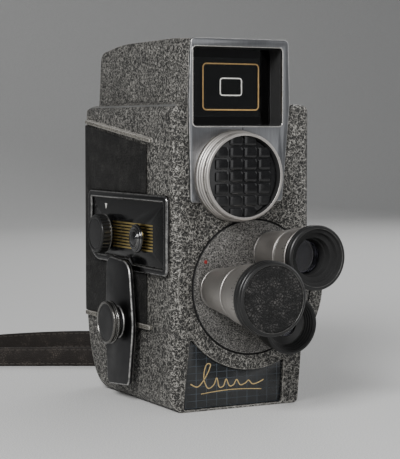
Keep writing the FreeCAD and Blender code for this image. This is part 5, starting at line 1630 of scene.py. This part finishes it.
@dataclass
class Photocell(Assembly):
    """Exposure cell: collar, film-speed ring, pillow lens, cell and meter movement."""

    centre: Point = (-5.3, 104.5)
    columns: int = 4
    rows: int = 7
    pitch: Point = (7.2, 5.35)
    pillow: tuple[float, float, float] = (6.3, 4.7, 1.5)
    reach: float = 16.5
    knurls: int = 132
    lip: float = 1.4

    def build(self) -> None:
        """Builds the cell from the collar outwards."""
        self.build_collar()
        self.build_ring()
        self.build_lens()
        self.dress_node("selenium_cell", SELENIUM)
        self.dress_node("meter_case", METER_BLACK)
        self.dress_node("meter_coil", BRASS)

    def build_collar(self) -> None:
        """Builds the fixed collar with a groove behind its front edge."""
        low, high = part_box("photocell_collar")
        face, back = low.y / MM, high.y / MM
        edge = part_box("photocell_ring")[1].y / MM + 0.3
        outer = (high.x - low.x) / 2 / MM
        profile = [(16.2, face), (17.2, face), (17.2, edge), (outer - 0.5, edge), (outer, edge + 0.5)]
        profile += [
            (outer, edge + 1.7), (outer - 0.35, edge + 1.9), (outer - 0.35, edge + 2.3), (outer, edge + 2.5)
        ]
        profile += [(outer, -50.0), (17.9, -50.0), (17.9, back), (16.2, back)]
        collar = turned(
            "cell_collar", Lie.Y, self.centre, rounded(profile, 0.22, closed=True), ring=True, segments=128
        )
        self.keep(collar, CHAMPAGNE, "camera", "photocell_collar")

    def build_ring(self) -> None:
        """Builds the film-speed ring with its knurl, scale ticks and numbers."""
        low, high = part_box("photocell_ring")
        front, back = low.y / MM, high.y / MM
        outer = (high.x - low.x) / 2 / MM
        band = outer - 0.5
        profile = [(17.7, back), (outer, back), (outer, back - 0.9), (band, back - 1.2), (band, front + 1.9)]
        profile += [(band - 0.35, front + 1.7), (band - 0.35, front + 1.5), (band - 0.1, front + 1.4)]
        inner = outer - 0.5 - self.lip
        profile += [
            (band - 0.1, front + 0.35), (band - 0.45, front), (inner, front), (17.7, front + self.lip)
        ]
        ring = turned(
            "film_speed_ring", Lie.Y, self.centre, rounded(profile, 0.15, closed=True), ring=True,
            segments=160
        )
        CHAMPAGNE.dress(ring)
        paint_ring(ring, INNER_BLACK_AND_PAINTED_SHADE, self.centre, 17.4, inner - 0.02, back)
        self.keep(ring, None, "cell_ring", "photocell_ring")
        middle = (front + 0.85) * MM
        knurl = RIBS.make(
            "film_speed_knurl", CHAMPAGNE, Count=self.knurls, Radius=(band - 0.1) * MM, Width=0.5 * MM,
            Depth=0.34 * MM, Length=0.9 * MM, Sides=6, Lean=0.0, Turn=FACE_FRONT,
            Place=(self.centre[0] * MM, middle, self.centre[1] * MM),
        )
        self.keep(knurl, None, "cell_ring")
        ticks = RIBS.make(
            "film_speed_ticks", BLACK_INK, Count=36, Radius=band * MM, Width=0.22 * MM, Depth=0.05 * MM,
            Length=0.75 * MM, Sides=4, Lean=0.0, Turn=FACE_FRONT,
            Place=(self.centre[0] * MM, (back - 1.75) * MM, self.centre[1] * MM),
        )
        self.keep(ticks, None, "cell_ring")
        labels = {110.0: "10", 128.0: "16", 146.0: "20", 164.0: "25", 182.0: "32", 200.0: "40", 218.0: "64"}
        numbers = wrapped_numerals(
            "film_speed_numbers", Lie.Y, self.centre, labels, 1.35, lambda place: band, back - 2.6 - 0.2, 1.0
        )
        self.keep(numbers, BLACK_INK, "cell_ring")

    def build_lens(self) -> None:
        """Builds the lens disc and its rows of pillows."""
        low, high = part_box("photocell_lens")
        front = low.y / MM + 0.75
        back = high.y / MM
        profile = rounded(
            [(0.0, front), (17.0, front), (17.35, front + 0.3), (17.35, back), (0.0, back)], 0.12
        )
        disc = turned("cell_lens_disc", Lie.Y, self.centre, profile, segments=128)
        self.keep(disc, CELL_GLASS, "camera", "photocell_lens")
        grid = PILLOWS.make(
            "cell_pillows", CELL_GLASS, Columns=self.columns, Rows=self.rows, Pitch_X=self.pitch[0] * MM,
            Pitch_Z=self.pitch[1] * MM, Pillow=tuple(size * MM for size in self.pillow),
            Reach=self.reach * MM,
            Turn=FACE_FRONT, Place=(self.centre[0] * MM, (front - 0.05) * MM, self.centre[1] * MM),
        )
        self.keep(grid, None, "camera")


@dataclass
class LensTurret(Assembly):
    """Turret disc with its retainer and index dot."""

    axis: Point = (4.5, 54.5)
    rim: float = 30.02
    dot: Point = (-19.5, 66.7)
    dot_radius: float = 0.85

    def build(self) -> None:
        """Builds the disc and dresses what holds it."""
        disc = softened("turret_disc", "turret_plate", 0.35)
        TURRET_PAINT.dress(disc)
        # A matt black ring on the disc's rim is painted shadow in the gap between disc and body.
        paint_ring(disc, INNER_BLACK_AND_PAINTED_SHADE, self.axis, self.rim, self.rim + 1.0, 0.0)
        self.keep(disc, None, "turret", "turret_disc")
        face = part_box("turret_disc")[0].y / MM
        profile = rounded(
            [
                (0.0, face - 0.12), (self.dot_radius, face - 0.1), (self.dot_radius, face + 0.2),
                (0.0, face + 0.2)
            ],
            0.1
        )
        self.keep(turned("index_dot", Lie.Y, self.dot, profile, segments=24), RED_INK, "turret")
        self.dress_node("turret_retainer", STEEL)
        self.dress_node("lens_elements", LENS_GLASS)


@dataclass
class TurretLens(Assembly):
    """One lens of the turret, with a tapered barrel and what turns in front of it."""

    name: str = ""
    barrel: str = ""
    base: float = 9.0
    end: float = 11.0
    bore: float = 7.2
    rings: tuple[float, ...] = ()

    def centre(self) -> Point:
        """Gives the (x, z) of the lens axis."""
        low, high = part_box(self.barrel)
        middle = (low + high) / 2 / MM
        return middle.x, middle.z

    def build_barrel(self) -> None:
        """Builds the tapered barrel with fine steps along it."""
        low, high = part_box(self.barrel)
        front, tail = low.y / MM, high.y / MM
        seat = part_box("turret_disc")[0].y / MM

        def width(y: float) -> float:
            """Gives the taper's radius at y."""
            return self.base + (self.end - self.base) * (seat - y) / (seat - front)

        profile = [(4.7, tail), (7.9, tail), (7.9, seat), (self.base, seat)]
        for place in self.rings:
            y = seat + (front - seat) * place
            profile += [
                (width(y), y), (width(y) - 0.28, y - 0.12), (width(y) - 0.28, y - 0.4), (width(y), y - 0.52)
            ]
        profile += [(self.end, front), (self.bore, front), (self.bore, seat - 2.0), (4.7, seat - 2.0)]
        barrel = turned(
            self.name + "_barrel", Lie.Y, self.centre(), rounded(profile, 0.12, closed=True), ring=True
        )
        CHAMPAGNE.dress(barrel)
        x, z = self.centre()
        # A matt black ring at the barrel's foot is painted contact shadow against the turret disc.
        paint_ring(barrel, INNER_BLACK_AND_PAINTED_SHADE, (x, z), self.base - 0.5, self.base + 0.03, seat + 0.4)
        self.keep(barrel, None, "turret", self.barrel)


@dataclass
class FocusingLens(TurretLens):
    """Lens whose scale band turns on its cell."""

    band: str = ""
    band_body: str = ""
    cell: str = ""
    labels: tuple[str, ...] = ("2", "3", "4", "5", "6", "8", "10", "15", "25", "50")
    letter: float = 1.7
    mouth: float = 12.6
    steps: tuple[tuple[float, float], ...] = ()

    def build(self) -> None:
        """Builds the barrel, the scale band and the hooded cell."""
        self.build_barrel()
        self.build_band()
        self.build_cell()

    def build_band(self) -> None:
        """Builds the scale band with ticks, numbers and a grooved edge."""
        low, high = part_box(self.band)
        front, back = low.y / MM, high.y / MM
        wide = (high.x - low.x) / 2 / MM
        narrow = wide - (back - front) * 0.125

        def width(y: float) -> float:
            """Gives the band's radius at y."""
            return narrow + (wide - narrow) * (back - y) / (back - front)

        profile = [(9.3, back), (narrow - 0.4, back), (narrow, back - 0.4)]
        y = front + 1.5
        profile += [
            (width(y), y), (width(y) - 0.3, y - 0.12), (width(y) - 0.3, y - 0.4), (width(y), y - 0.52)
        ]
        profile += [(wide - 0.05, front + 0.1), (wide - 0.2, front), (9.3, front)]
        ring = turned(
            self.name + "_scale_band", Lie.Y, self.centre(), rounded(profile, 0.1, closed=True), ring=True,
            segments=128
        )
        self.keep(ring, CHAMPAGNE, self.band_body, self.band)
        x, z = self.centre()
        at = front + 2.6
        ticks = RIBS.make(
            self.name + "_scale_ticks", BLACK_INK, Count=60, Radius=width(at) * MM, Width=0.2 * MM,
            Depth=0.06 * MM, Length=1.1 * MM, Sides=4, Lean=math.atan((wide - narrow) / (back - front)),
            Turn=FACE_FRONT, Place=(x * MM, at * MM, z * MM),
        )
        self.keep(ticks, None, self.band_body)
        spread = {90.0 + 360.0 * i / len(self.labels): label for i, label in enumerate(self.labels)}
        numbers = wrapped_numerals(
            self.name + "_scale_numbers", Lie.Y, self.centre(), spread, self.letter, width, front + 4.6, 1.0
        )
        self.keep(numbers, BLACK_INK, self.band_body)

    def build_cell(self) -> None:
        """Builds the black cell with its hood and the stepped mouth."""
        low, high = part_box(self.cell)
        hood, tail = low.y / MM, high.y / MM
        wide = (high.x - low.x) / 2 / MM
        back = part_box(self.band)[0].y / MM - 0.3
        profile = [(7.8, tail), (9.0, tail), (9.0, back), (wide - 0.3, back), (wide, back - 0.3)]
        middle = (back + hood) / 2
        profile += [
            (wide, middle + 0.5), (wide - 0.2, middle + 0.3), (wide - 0.2, middle - 0.3), (wide, middle - 0.5)
        ]
        profile += [(wide, hood + 0.5), (wide - 0.5, hood), (self.mouth, hood)]
        profile += [(radius, hood + deep) for radius, deep in self.steps]
        profile += [(7.8, profile[-1][1])]
        cell = turned(
            self.name + "_hood", Lie.Y, self.centre(), rounded(profile, 0.14, closed=True), ring=True,
            segments=128
        )
        HOOD_BLACK.dress(cell)
        paint_ring(cell, INNER_BLACK_AND_PAINTED_SHADE, self.centre(), 0.0, self.mouth - 0.15, tail)
        self.keep(cell, None, "turret", self.cell)


@dataclass
class LensCap(Assembly):
    """Push-in cap of the long lens with its grained face disc."""

    face_radius: float = 14.3
    plug_radius: float = 13.4

    def build(self) -> None:
        """Builds the turned cap and the crowned grained disc in it."""
        low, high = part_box("lens_cap")
        front, back = low.y / MM, high.y / MM
        middle = (low + high) / 2 / MM
        centre = (middle.x, middle.z)
        wide = (high.x - low.x) / 2 / MM
        seat = back - 3.0
        radius = self.face_radius
        profile = [(0.0, front + 0.6), (radius, front + 0.6), (radius, front), (radius + 0.7, front)]
        profile += [(wide, front + 0.5), (wide, seat), (self.plug_radius, seat), (self.plug_radius, back)]
        profile += [(self.plug_radius - 1.0, back), (self.plug_radius - 1.0, seat), (0.0, seat)]
        cap = turned("cap_rim", Lie.Y, centre, rounded(profile, 0.2), segments=128)
        self.keep(cap, HOOD_BLACK, "cap", "lens_cap")
        inner = radius - 0.08
        profile = [
            (0.0, front + 0.02), (inner * 0.6, front + 0.05), (inner - 0.8, front + 0.12),
            (inner - 0.2, front + 0.3)
        ]
        profile += [(inner, front + 0.55), (0.0, front + 0.55)]
        disc = turned("cap_face", Lie.Y, centre, rounded(profile, 0.2), segments=128)
        self.keep(disc, CAP_LEATHER, "cap", "lens_cap_face")


@dataclass
class WideLens(TurretLens):
    """Short wide lens with a flared hood."""

    hood: str = "wide_lens_hood"

    def build(self) -> None:
        """Builds the barrel and the flared hood with rings inside it."""
        self.build_barrel()
        low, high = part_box(self.hood)
        front, back = low.y / MM, high.y / MM
        wide = (high.x - low.x) / 2 / MM
        profile = [
            (6.0, back), (10.5, back), (12.2, back - 1.5), (wide, front + 0.5), (wide - 0.3, front),
            (wide - 1.1, front)
        ]
        span = 5.0
        for i in range(5):
            radius = wide - 1.1 - 3.0 * (i + 0.5) / 5
            depth = front + span * (i + 0.5) / 5
            profile += [(radius, depth), (radius - 0.25, depth + 0.05)]
        profile += [(9.2, front + 5.0), (6.0, front + 5.5)]
        flare = turned(
            "wide_hood", Lie.Y, self.centre(), rounded(profile, 0.1, closed=True), ring=True, segments=128
        )
        self.keep(flare, HOOD_BLACK, "turret", self.hood)


@dataclass
class ControlPanel(Assembly):
    """Gloss panel on the left wall with its stripes, speed dial and run button."""

    stripes: int = 9
    pitch: float = 1.42
    stripe: float = 0.75
    stripe_run: Point = (-32.0, 10.5)
    marker: Point = (18.0, 89.0)
    dial_ribs: int = 30

    def build(self) -> None:
        """Builds the panel from its rim inwards."""
        # The rim's bright edges are painted highlights from the black chrome's wear setting.
        self.keep(softened("panel_rim", "panel_edge", 0.95, segments=4), BLACK_CHROME_EDGE_HIGHLIGHT, "camera", "panel_rim")
        self.keep(softened("control_plate", "panel_plate", 0.25), GLOSS_BLACK, "camera", "control_plate")
        self.build_lines()
        self.build_dial()
        self.build_button()
        self.dress_node("button_spring", STEEL)

    def build_lines(self) -> None:
        """Builds the gold lines and the white index triangle."""
        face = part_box("control_plate")[0].x / MM
        low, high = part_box("control_stripes")
        middle = (low.z + high.z) / 2 / MM
        rows = []
        for i in range(self.stripes):
            z = middle + (i - (self.stripes - 1) / 2) * self.pitch
            half = self.stripe / 2
            outline = [
                Vector((face + 0.05, self.stripe_run[0], z - half)),
                Vector((face + 0.05, self.stripe_run[1], z - half)),
                Vector((face + 0.05, self.stripe_run[1], z + half)),
                Vector((face + 0.05, self.stripe_run[0], z + half)),
            ]
            rows.append(plate("stripe", outline, Vector((-0.13, 0, 0))))
        self.keep(joined("gold_lines", rows), GOLD_METAL, "camera", "control_stripes")
        y, z = self.marker
        outline = [Vector((face + 0.05, y - 1.2, z + 1.2)), Vector((face + 0.05, y + 1.2, z + 1.2))]
        outline.append(Vector((face + 0.05, y, z - 1.4)))
        self.keep(plate("index_triangle", outline, Vector((-0.11, 0, 0))), WHITE_INK, "camera")

    def build_dial(self) -> None:
        """Builds the ribbed speed dial with its sunk face."""
        low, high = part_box("speed_dial")
        outer = low.x / MM
        middle = (low + high) / 2 / MM
        centre = (middle.y, middle.z)
        wide = (high.y - low.y) / 2 / MM
        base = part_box("panel_rim")[0].x / MM - 0.3
        core = wide - 0.6
        inner_end = high.x / MM
        profile = [
            (0.0, outer + 0.45), (core - 1.6, outer + 0.45), (core - 1.3, outer + 0.08), (core - 0.5, outer)
        ]
        profile += [(core, outer + 0.5), (core, base - 0.5), (wide, base - 0.4), (wide, base)]
        profile += [(2.5, base), (2.5, inner_end), (0.0, inner_end)]
        dial = turned("speed_dial_core", Lie.X, centre, rounded(profile, 0.2), segments=120)
        self.keep(dial, DIAL_BLACK, "dial", "speed_dial")
        length = base - 0.5 - (outer + 0.7)
        ribs = RIBS.make(
            "speed_dial_ribs", DIAL_BLACK, Count=self.dial_ribs, Radius=(wide - 0.56) * MM, Width=1.2 * MM,
            Depth=1.1 * MM, Length=length * MM, Sides=10, Lean=0.0, Turn=FACE_LEFT,
            Place=((outer + 0.7 + length / 2) * MM, centre[0] * MM, centre[1] * MM),
        )
        self.keep(ribs, None, "dial")
        inner = core - 1.7
        disc = rounded(
            [
                (0.0, outer + 0.2), (inner - 0.6, outer + 0.22), (inner, outer + 0.36), (inner, outer + 0.55),
                (0.0, outer + 0.55)
            ],
            0.2
        )
        self.keep(turned("speed_dial_face", Lie.X, centre, disc, segments=96), HUB_FACE, "dial")

    def build_button(self) -> None:
        """Builds the polished run button with its concentric rings."""
        low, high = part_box("run_button")
        outer = low.x / MM
        middle = (low + high) / 2 / MM
        centre = (middle.y, middle.z)
        wide = (high.y - low.y) / 2 / MM
        base = outer + 2.8
        profile = [
            (0.0, outer), (1.5, outer + 0.04), (2.5, outer + 0.22), (3.1, outer + 0.6), (3.2, outer + 1.0)
        ]
        profile += [
            (3.45, outer + 1.0), (3.7, outer + 0.7), (4.3, outer + 0.8), (4.5, outer + 1.35),
            (4.8, outer + 1.35)
        ]
        profile += [(5.0, outer + 1.15), (5.7, outer + 1.35), (5.85, outer + 1.8), (wide - 0.3, outer + 1.85)]
        profile += [(wide, outer + 2.15), (wide, base), (2.5, base), (2.5, high.x / MM), (0.0, high.x / MM)]
        button = turned("run_button_head", Lie.X, centre, rounded(profile, 0.14), segments=112)
        self.keep(button, BUTTON_CHROME, "button", "run_button")


@dataclass
class WindingKey(Assembly):
    """Paddle key, hub cap and arbor."""

    def build(self) -> None:
        """Builds the bevelled paddle and the turned hub cap."""
        self.keep(softened("winding_key", "key_paddle", 0.6, segments=3), KEY_METAL, "key", "winding_key")
        low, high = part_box("key_hub_cap")
        outer, back = low.x / MM, high.x / MM
        middle = (low + high) / 2 / MM
        wide = (high.y - low.y) / 2 / MM
        profile = [
            (0.0, outer + 0.5), (wide - 1.2, outer + 0.5), (wide - 1.0, outer + 0.05), (wide - 0.5, outer)
        ]
        profile += [
            (wide, outer + 0.45), (wide, outer + 1.4), (wide - 0.75, outer + 1.7), (wide - 0.75, outer + 2.1)
        ]
        profile += [
            (wide, outer + 2.4), (wide, back - 0.5), (wide - 0.5, back), (3.0, back), (3.0, back - 1.2)
        ]
        profile += [(0.0, back - 1.2)]
        cap = turned("key_hub", Lie.X, (middle.y, middle.z), rounded(profile, 0.15), segments=112)
        self.keep(cap, HUB_METAL, "key", "key_hub_cap")
        inner = wide - 1.25
        disc = rounded(
            [
                (0.0, outer + 0.16), (inner * 0.7, outer + 0.2), (inner, outer + 0.4), (inner, outer + 0.6),
                (0.0, outer + 0.6)
            ],
            0.3
        )
        self.keep(turned("key_hub_face", Lie.X, (middle.y, middle.z), disc, segments=96), HUB_FACE, "key")
        self.dress_node("winding_arbor", STEEL)


@dataclass
class Nameplate(Assembly):
    """Plaid lacquer plate with a gold flourish in place of any lettering."""

    baseline: float = 10.2
    route: tuple[Point, ...] = (
        (-26.3, 12.4), (-22.5, 11.0), (-18.6, 15.2), (-16.2, 20.3), (-18.4, 20.4), (-19.6, 14.8),
        (-17.6, 10.0),
        (-14.6, 11.2), (-13.0, 14.2), (-11.8, 10.2), (-9.6, 10.4), (-8.2, 13.4), (-6.6, 10.3), (-4.4, 10.6),
        (-2.8, 12.8), (-1.0, 10.3), (1.6, 10.8), (3.4, 12.0), (5.4, 10.2), (8.2, 10.6), (11.2, 11.8),
    )

    def build(self) -> None:
        """Builds the plate and the flourish."""
        self.keep(softened("nameplate", "name_plate", 0.15), PLAID, "camera", "nameplate")
        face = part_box("nameplate")[0].y / MM - 0.06
        points = smooth_line([Vector((x, face, z)) for x, z in self.route], 8)
        section = [(-0.24, -0.05), (0.24, -0.05), (0.24, 0.05), (-0.24, 0.05)]
        line = swept("flourish", points, section, Vector((0, -1, 0)), closed=False)
        self.keep(line, GOLD_INK, "camera")
        steps = [i / 16 for i in range(17)]
        under = [
            Vector((-21.0 + 31.0 * t, face, self.baseline - 2.6 + 0.9 * math.sin(math.pi * t))) for t in steps
        ]
        stroke = swept(
            "under_stroke", under, [(a * 0.75, b) for a, b in section], Vector((0, -1, 0)), closed=False
        )
        self.keep(stroke, GOLD_INK, "camera")


@dataclass
class RearFittings(Assembly):
    """Door latch, footage counter, tripod bush and strap stud."""

    def build(self) -> None:
        """Builds the fittings of the rear, the base and the door."""
        self.keep(softened("door_latch", "latch_knob", 0.3), BRIGHT, "latch", "door_latch")
        self.build_counter()
        self.keep(softened("tripod_bush", "tripod_socket", 0.25), STEEL, "camera", "tripod_bush")
        self.keep(softened("strap_stud", "strap_loop_stud", 0.3), BRIGHT, "camera", "strap_stud")

    def build_counter(self) -> None:
        """Builds the counter's bright edge, its window and the numbered dial."""
        low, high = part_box("counter_window")
        back, front = high.y / MM, low.y / MM
        middle = (low + high) / 2 / MM
        wide = (high.x - low.x) / 2 / MM
        centre = (middle.x, middle.z)
        dome = rounded(
            [
                (0.0, front), (wide - 0.05, front), (wide - 0.05, back - 0.5), (wide * 0.6, back - 0.1),
                (0.0, back)
            ],
            0.4
        )
        self.keep(turned("counter_glass", Lie.Y, centre, dome), LENS_GLASS, "camera", "counter_window")
        edge = [
            (wide + 0.05, back - 1.2), (wide + 1.2, back - 0.4), (wide + 1.2, back + 0.05),
            (wide + 0.05, back + 0.3)
        ]
        ring = turned("counter_edge", Lie.Y, centre, rounded(edge, 0.2, closed=True), ring=True)
        self.keep(ring, BRIGHT, "camera")
        self.dress_node("counter_dial", WHITE_INK)
        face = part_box("counter_dial")[1].y / MM
        pieces = []
        for i, label in enumerate(("0", "10", "20", "30", "40", "50")):
            angle = math.radians(90 + 55 * i)
            mesh = flat_text(label, 2.1)
            for vert in mesh.vertices:
                spun = Matrix.Rotation(angle - math.pi / 2, 2) @ Vector((vert.co.x, vert.co.y + 5.0))
                vert.co = Vector((centre[0] - spun.x, face + 0.04, centre[1] + spun.y)) * MM
            pieces.append(link("counter_number", mesh))
        numbers = joined("counter_numbers", pieces)
        self.keep(numbers, BLACK_INK, "counter")


@dataclass
class Movement(Assembly):
    """Spring motor, shutter, film gate and magazine inside the body."""

    finishes: dict[str, Finish] = field(
        default_factory=lambda: {
            "spring_barrel": BRASS,
            "mainspring": BLUED,
            "drive_wheel": BRASS,
            "lay_arbor": STEEL,
            "shutter_shaft": STEEL,
            "shutter_disc": INNER_BLACK_AND_PAINTED_SHADE,
            "governor": BRASS,
            "chassis_plate": STEEL,
            "film_gate": STEEL,
            "film_claw": STEEL,
            "film_magazine": MAGAZINE_GREY,
            "magazine_spring": BLUED,
        }
    )

    def build(self) -> None:
        """Dresses the CAD nodes of the movement."""
        for node, finish in self.finishes.items():
            self.dress_node(node, finish)


@dataclass
class WristStrap(Assembly):
    """Closed leather band that stands on its edge behind the camera."""

    wide: float = 10.0
    thick: float = 1.8
    length: float = 379.0
    route: tuple[Point, ...] = (
        (22.0, 50.8), (26.6, 50.8), (28.0, 62.0), (36.0, 92.0), (40.0, 130.0), (16.0, 160.0), (-30.0, 168.0),
        (-74.0, 158.0), (-90.0, 138.0), (-68.0, 124.0), (-32.0, 106.0), (2.0, 88.0), (15.6, 66.0),
        (17.4, 50.8),
        (22.0, 50.8),
    )

    def points(self) -> list[Vector]:
        """Reads the points of the strap's smooth line.

        Returns:
            The points, in millimetres.
        """
        curve = bpy.data.curves.new("strap_line", "CURVE")
        curve.dimensions = "3D"
        curve.resolution_u = 12
        spline = curve.splines.new("NURBS")
        spline.points.add(len(self.route) - 1)
        for point, (x, y) in zip(spline.points, self.route):
            point.co = (x * MM, y * MM, self.wide / 2 * MM, 1.0)
        spline.order_u = 3
        spline.use_endpoint_u = True
        holder = link("strap_line", curve)
        bpy.context.view_layer.update()
        mesh = bpy.data.meshes.new_from_object(holder.evaluated_get(bpy.context.evaluated_depsgraph_get()))
        places = [vert.co / MM for vert in mesh.vertices]
        bpy.data.objects.remove(holder)
        bpy.data.meshes.remove(mesh)
        return places

    def build(self) -> None:
        """Builds the band and its stitching."""
        places = self.points()
        half, rise = self.thick / 2, self.wide / 2
        section = rounded([(-half, -rise), (half, -rise), (half, rise), (-half, rise)], 0.7, 3, closed=True)
        band = swept("strap_band", places, section, Vector((0, 0, 1)), closed=False)
        self.keep(band, STRAP_LEATHER, "camera", "wrist_strap")
        rows = []
        for side in (-1, 1):
            for level in (-1, 1):
                rows.append(self.stitch_row(places, side, level))
        stitches = self.keep(joined("strap_stitches", rows), THREAD, "camera")
        path = [point * MM for point in places]
        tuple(path[0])

    def stitch_row(self, places: Sequence[Vector], side: int, level: int) -> bpy.types.Object:
        """Builds one row of stitches on one face of the band.

        Args:
            places: the band's line.
            side: which face, -1 or 1.
            level: lower or upper edge, -1 or 1.

        Returns:
            The row's piece.
        """
        line = bpy.data.meshes.new("stitch_line")
        offset = []
        for i, here in enumerate(places):
            ahead = (places[min(i + 1, len(places) - 1)] - places[max(i - 1, 0)]).normalized()
            across = ahead.cross(Vector((0, 0, 1))) * side * (self.thick / 2 - 0.02)
            offset.append((here + across + Vector((0, 0, level * (self.wide / 2 - 1.3)))) * MM)
        line.from_pydata([tuple(point) for point in offset], [(i, i + 1) for i in range(len(offset) - 1)], [])
        return STITCHES.make(
            f"stitches_{side + 1}_{level + 1}", THREAD, route=line, Pitch=3.2 * MM, Length=2.1 * MM,
            Width=0.42 * MM,
            Place=(0.0, 0.0, 0.0),
        )


# ---------------------------------------------------------------- studio
@dataclass
class Studio:
    """Pale floor, soft lamps and the camera that looks at the object."""

    eye: tuple[float, float, float] = (-0.3405, -0.6486, 0.1250)
    turn: float = 28.0
    dip: float = 3.7
    lens: float = 120.8

    def build(self) -> None:
        """Builds the floor, the lamps and the camera."""
        self.build_floor()
        self.lamp("key_lamp", (-0.80, -0.75, 0.75), 0.45, 19.0)
        self.lamp("front_fill", (0.15, -1.3, 0.35), 0.9, 3.2)
        self.lamp("right_fill", (0.95, -0.2, 0.5), 0.8, 4.0)
        self.lamp("rear_lamp", (0.75, 0.75, 0.8), 0.7, 5.0)
        world = bpy.data.worlds.new("studio_air")
        world.use_nodes = True
        world.node_tree.nodes["Background"].inputs["Color"].default_value = (0.72, 0.73, 0.75, 1.0)
        world.node_tree.nodes["Background"].inputs["Strength"].default_value = 0.28
        bpy.context.scene.world = world
        self.build_camera()

    def build_floor(self) -> None:
        """Builds a floor that curves up behind the object."""
        profile = [(-3.0, 0.0)]
        profile += [(1.2, 0.0)]
        for step in range(1, 13):
            angle = math.pi / 2 * step / 12
            profile.append((1.2 + 0.9 * math.sin(angle), 0.9 * (1 - math.cos(angle))))
        profile.append((2.1, 3.0))
        bm = bmesh.new()
        rows = []
        for side in (-4.0, 4.0):
            rows.append([bm.verts.new((side, y, z)) for y, z in profile])
        for i in range(len(profile) - 1):
            bm.faces.new((rows[0][i], rows[1][i], rows[1][i + 1], rows[0][i + 1]))
        floor = link("studio_floor", mesh_from(bm, "studio_floor"))
        Ink("pale_floor_paper", colour=(0.70, 0.70, 0.69), roughness=0.85).dress(floor)
        floor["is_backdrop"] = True

    def lamp(self, name: str, place: tuple[float, float, float], size: float, power: float) -> None:
        """Hangs one soft square lamp that faces the object.

        Args:
            name: name of the lamp.
            place: where it hangs, in metres.
            size: side of the square.
            power: its power in watts.
        """
        light = bpy.data.lights.new(name, "AREA")
        light.shape = "SQUARE"
        light.size = size
        light.energy = power
        made = bpy.data.objects.new(name, light)
        made.location = place
        made.rotation_euler = (Vector((0.0, 0.0, 0.08)) - Vector(place)).to_track_quat("-Z", "Y").to_euler()
        bpy.context.scene.collection.objects.link(made)

    def build_camera(self) -> None:
        """Builds the camera at its angle."""
        data = bpy.data.cameras.new("view_camera")
        data.lens = self.lens
        data.sensor_width = 36.0
        data.sensor_fit = "AUTO"
        turn, dip = math.radians(self.turn), math.radians(self.dip)
        ahead = Vector((math.sin(turn) * math.cos(dip), math.cos(turn) * math.cos(dip), -math.sin(dip)))
        made = bpy.data.objects.new("view_camera", data)
        made.location = self.eye
        made.rotation_euler = ahead.to_track_quat("-Z", "Y").to_euler()
        bpy.context.scene.collection.objects.link(made)
        bpy.context.scene.camera = made


def assemblies() -> Iterable[Assembly]:
    """Lists the sub-assemblies in building order."""
    yield WristStrap()
    yield BodyCasting()
    yield LeatherSkins()
    yield FinderTower()
    yield Photocell()
    yield LensTurret()
    yield FocusingLens(
        name="long", barrel="long_lens_barrel", base=9.1, end=12.5, rings=(0.06, 0.93),
        band="long_lens_focus_ring",
        band_body="long_focus", cell="long_lens_cell", mouth=14.2, steps=((13.8, 4.2),),
    )
    yield FocusingLens(
        name="standard", barrel="standard_lens_barrel", base=9.0, end=11.6, rings=(0.06, 0.92),
        band="standard_lens_focus_ring", band_body="standard_focus", cell="standard_lens_cell", mouth=12.6,
        steps=((12.2, 1.6), (10.9, 1.6), (10.7, 3.8), (8.6, 3.8), (8.4, 7.2)),
    )
    yield WideLens(name="wide", barrel="wide_lens_barrel", base=9.0, end=10.5, rings=(0.3,))
    yield LensCap()
    yield ControlPanel()
    yield WindingKey()
    yield Nameplate()
    yield RearFittings()
    yield Movement()


def write_sizes() -> None:
    """Gathers the CAD model's box and the visual model's box as plain lists.
    """
    boxes = {"cad": CAD_BOX, "visual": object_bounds()}
    plain = {key: [[float(number) for number in corner] for corner in pair] for key, pair in boxes.items()}


def main() -> None:
    """Builds the camera, sub-assembly by sub-assembly, and the studio round it."""
    logging.basicConfig(level=logging.INFO, format="%(message)s")
    Studio().build()
    for assembly in assemblies():
        assembly.build()
        LOG.info("%s: %d pieces", type(assembly).__name__, len(assembly.made))
    write_sizes()


if __name__ == "__main__":
    main()
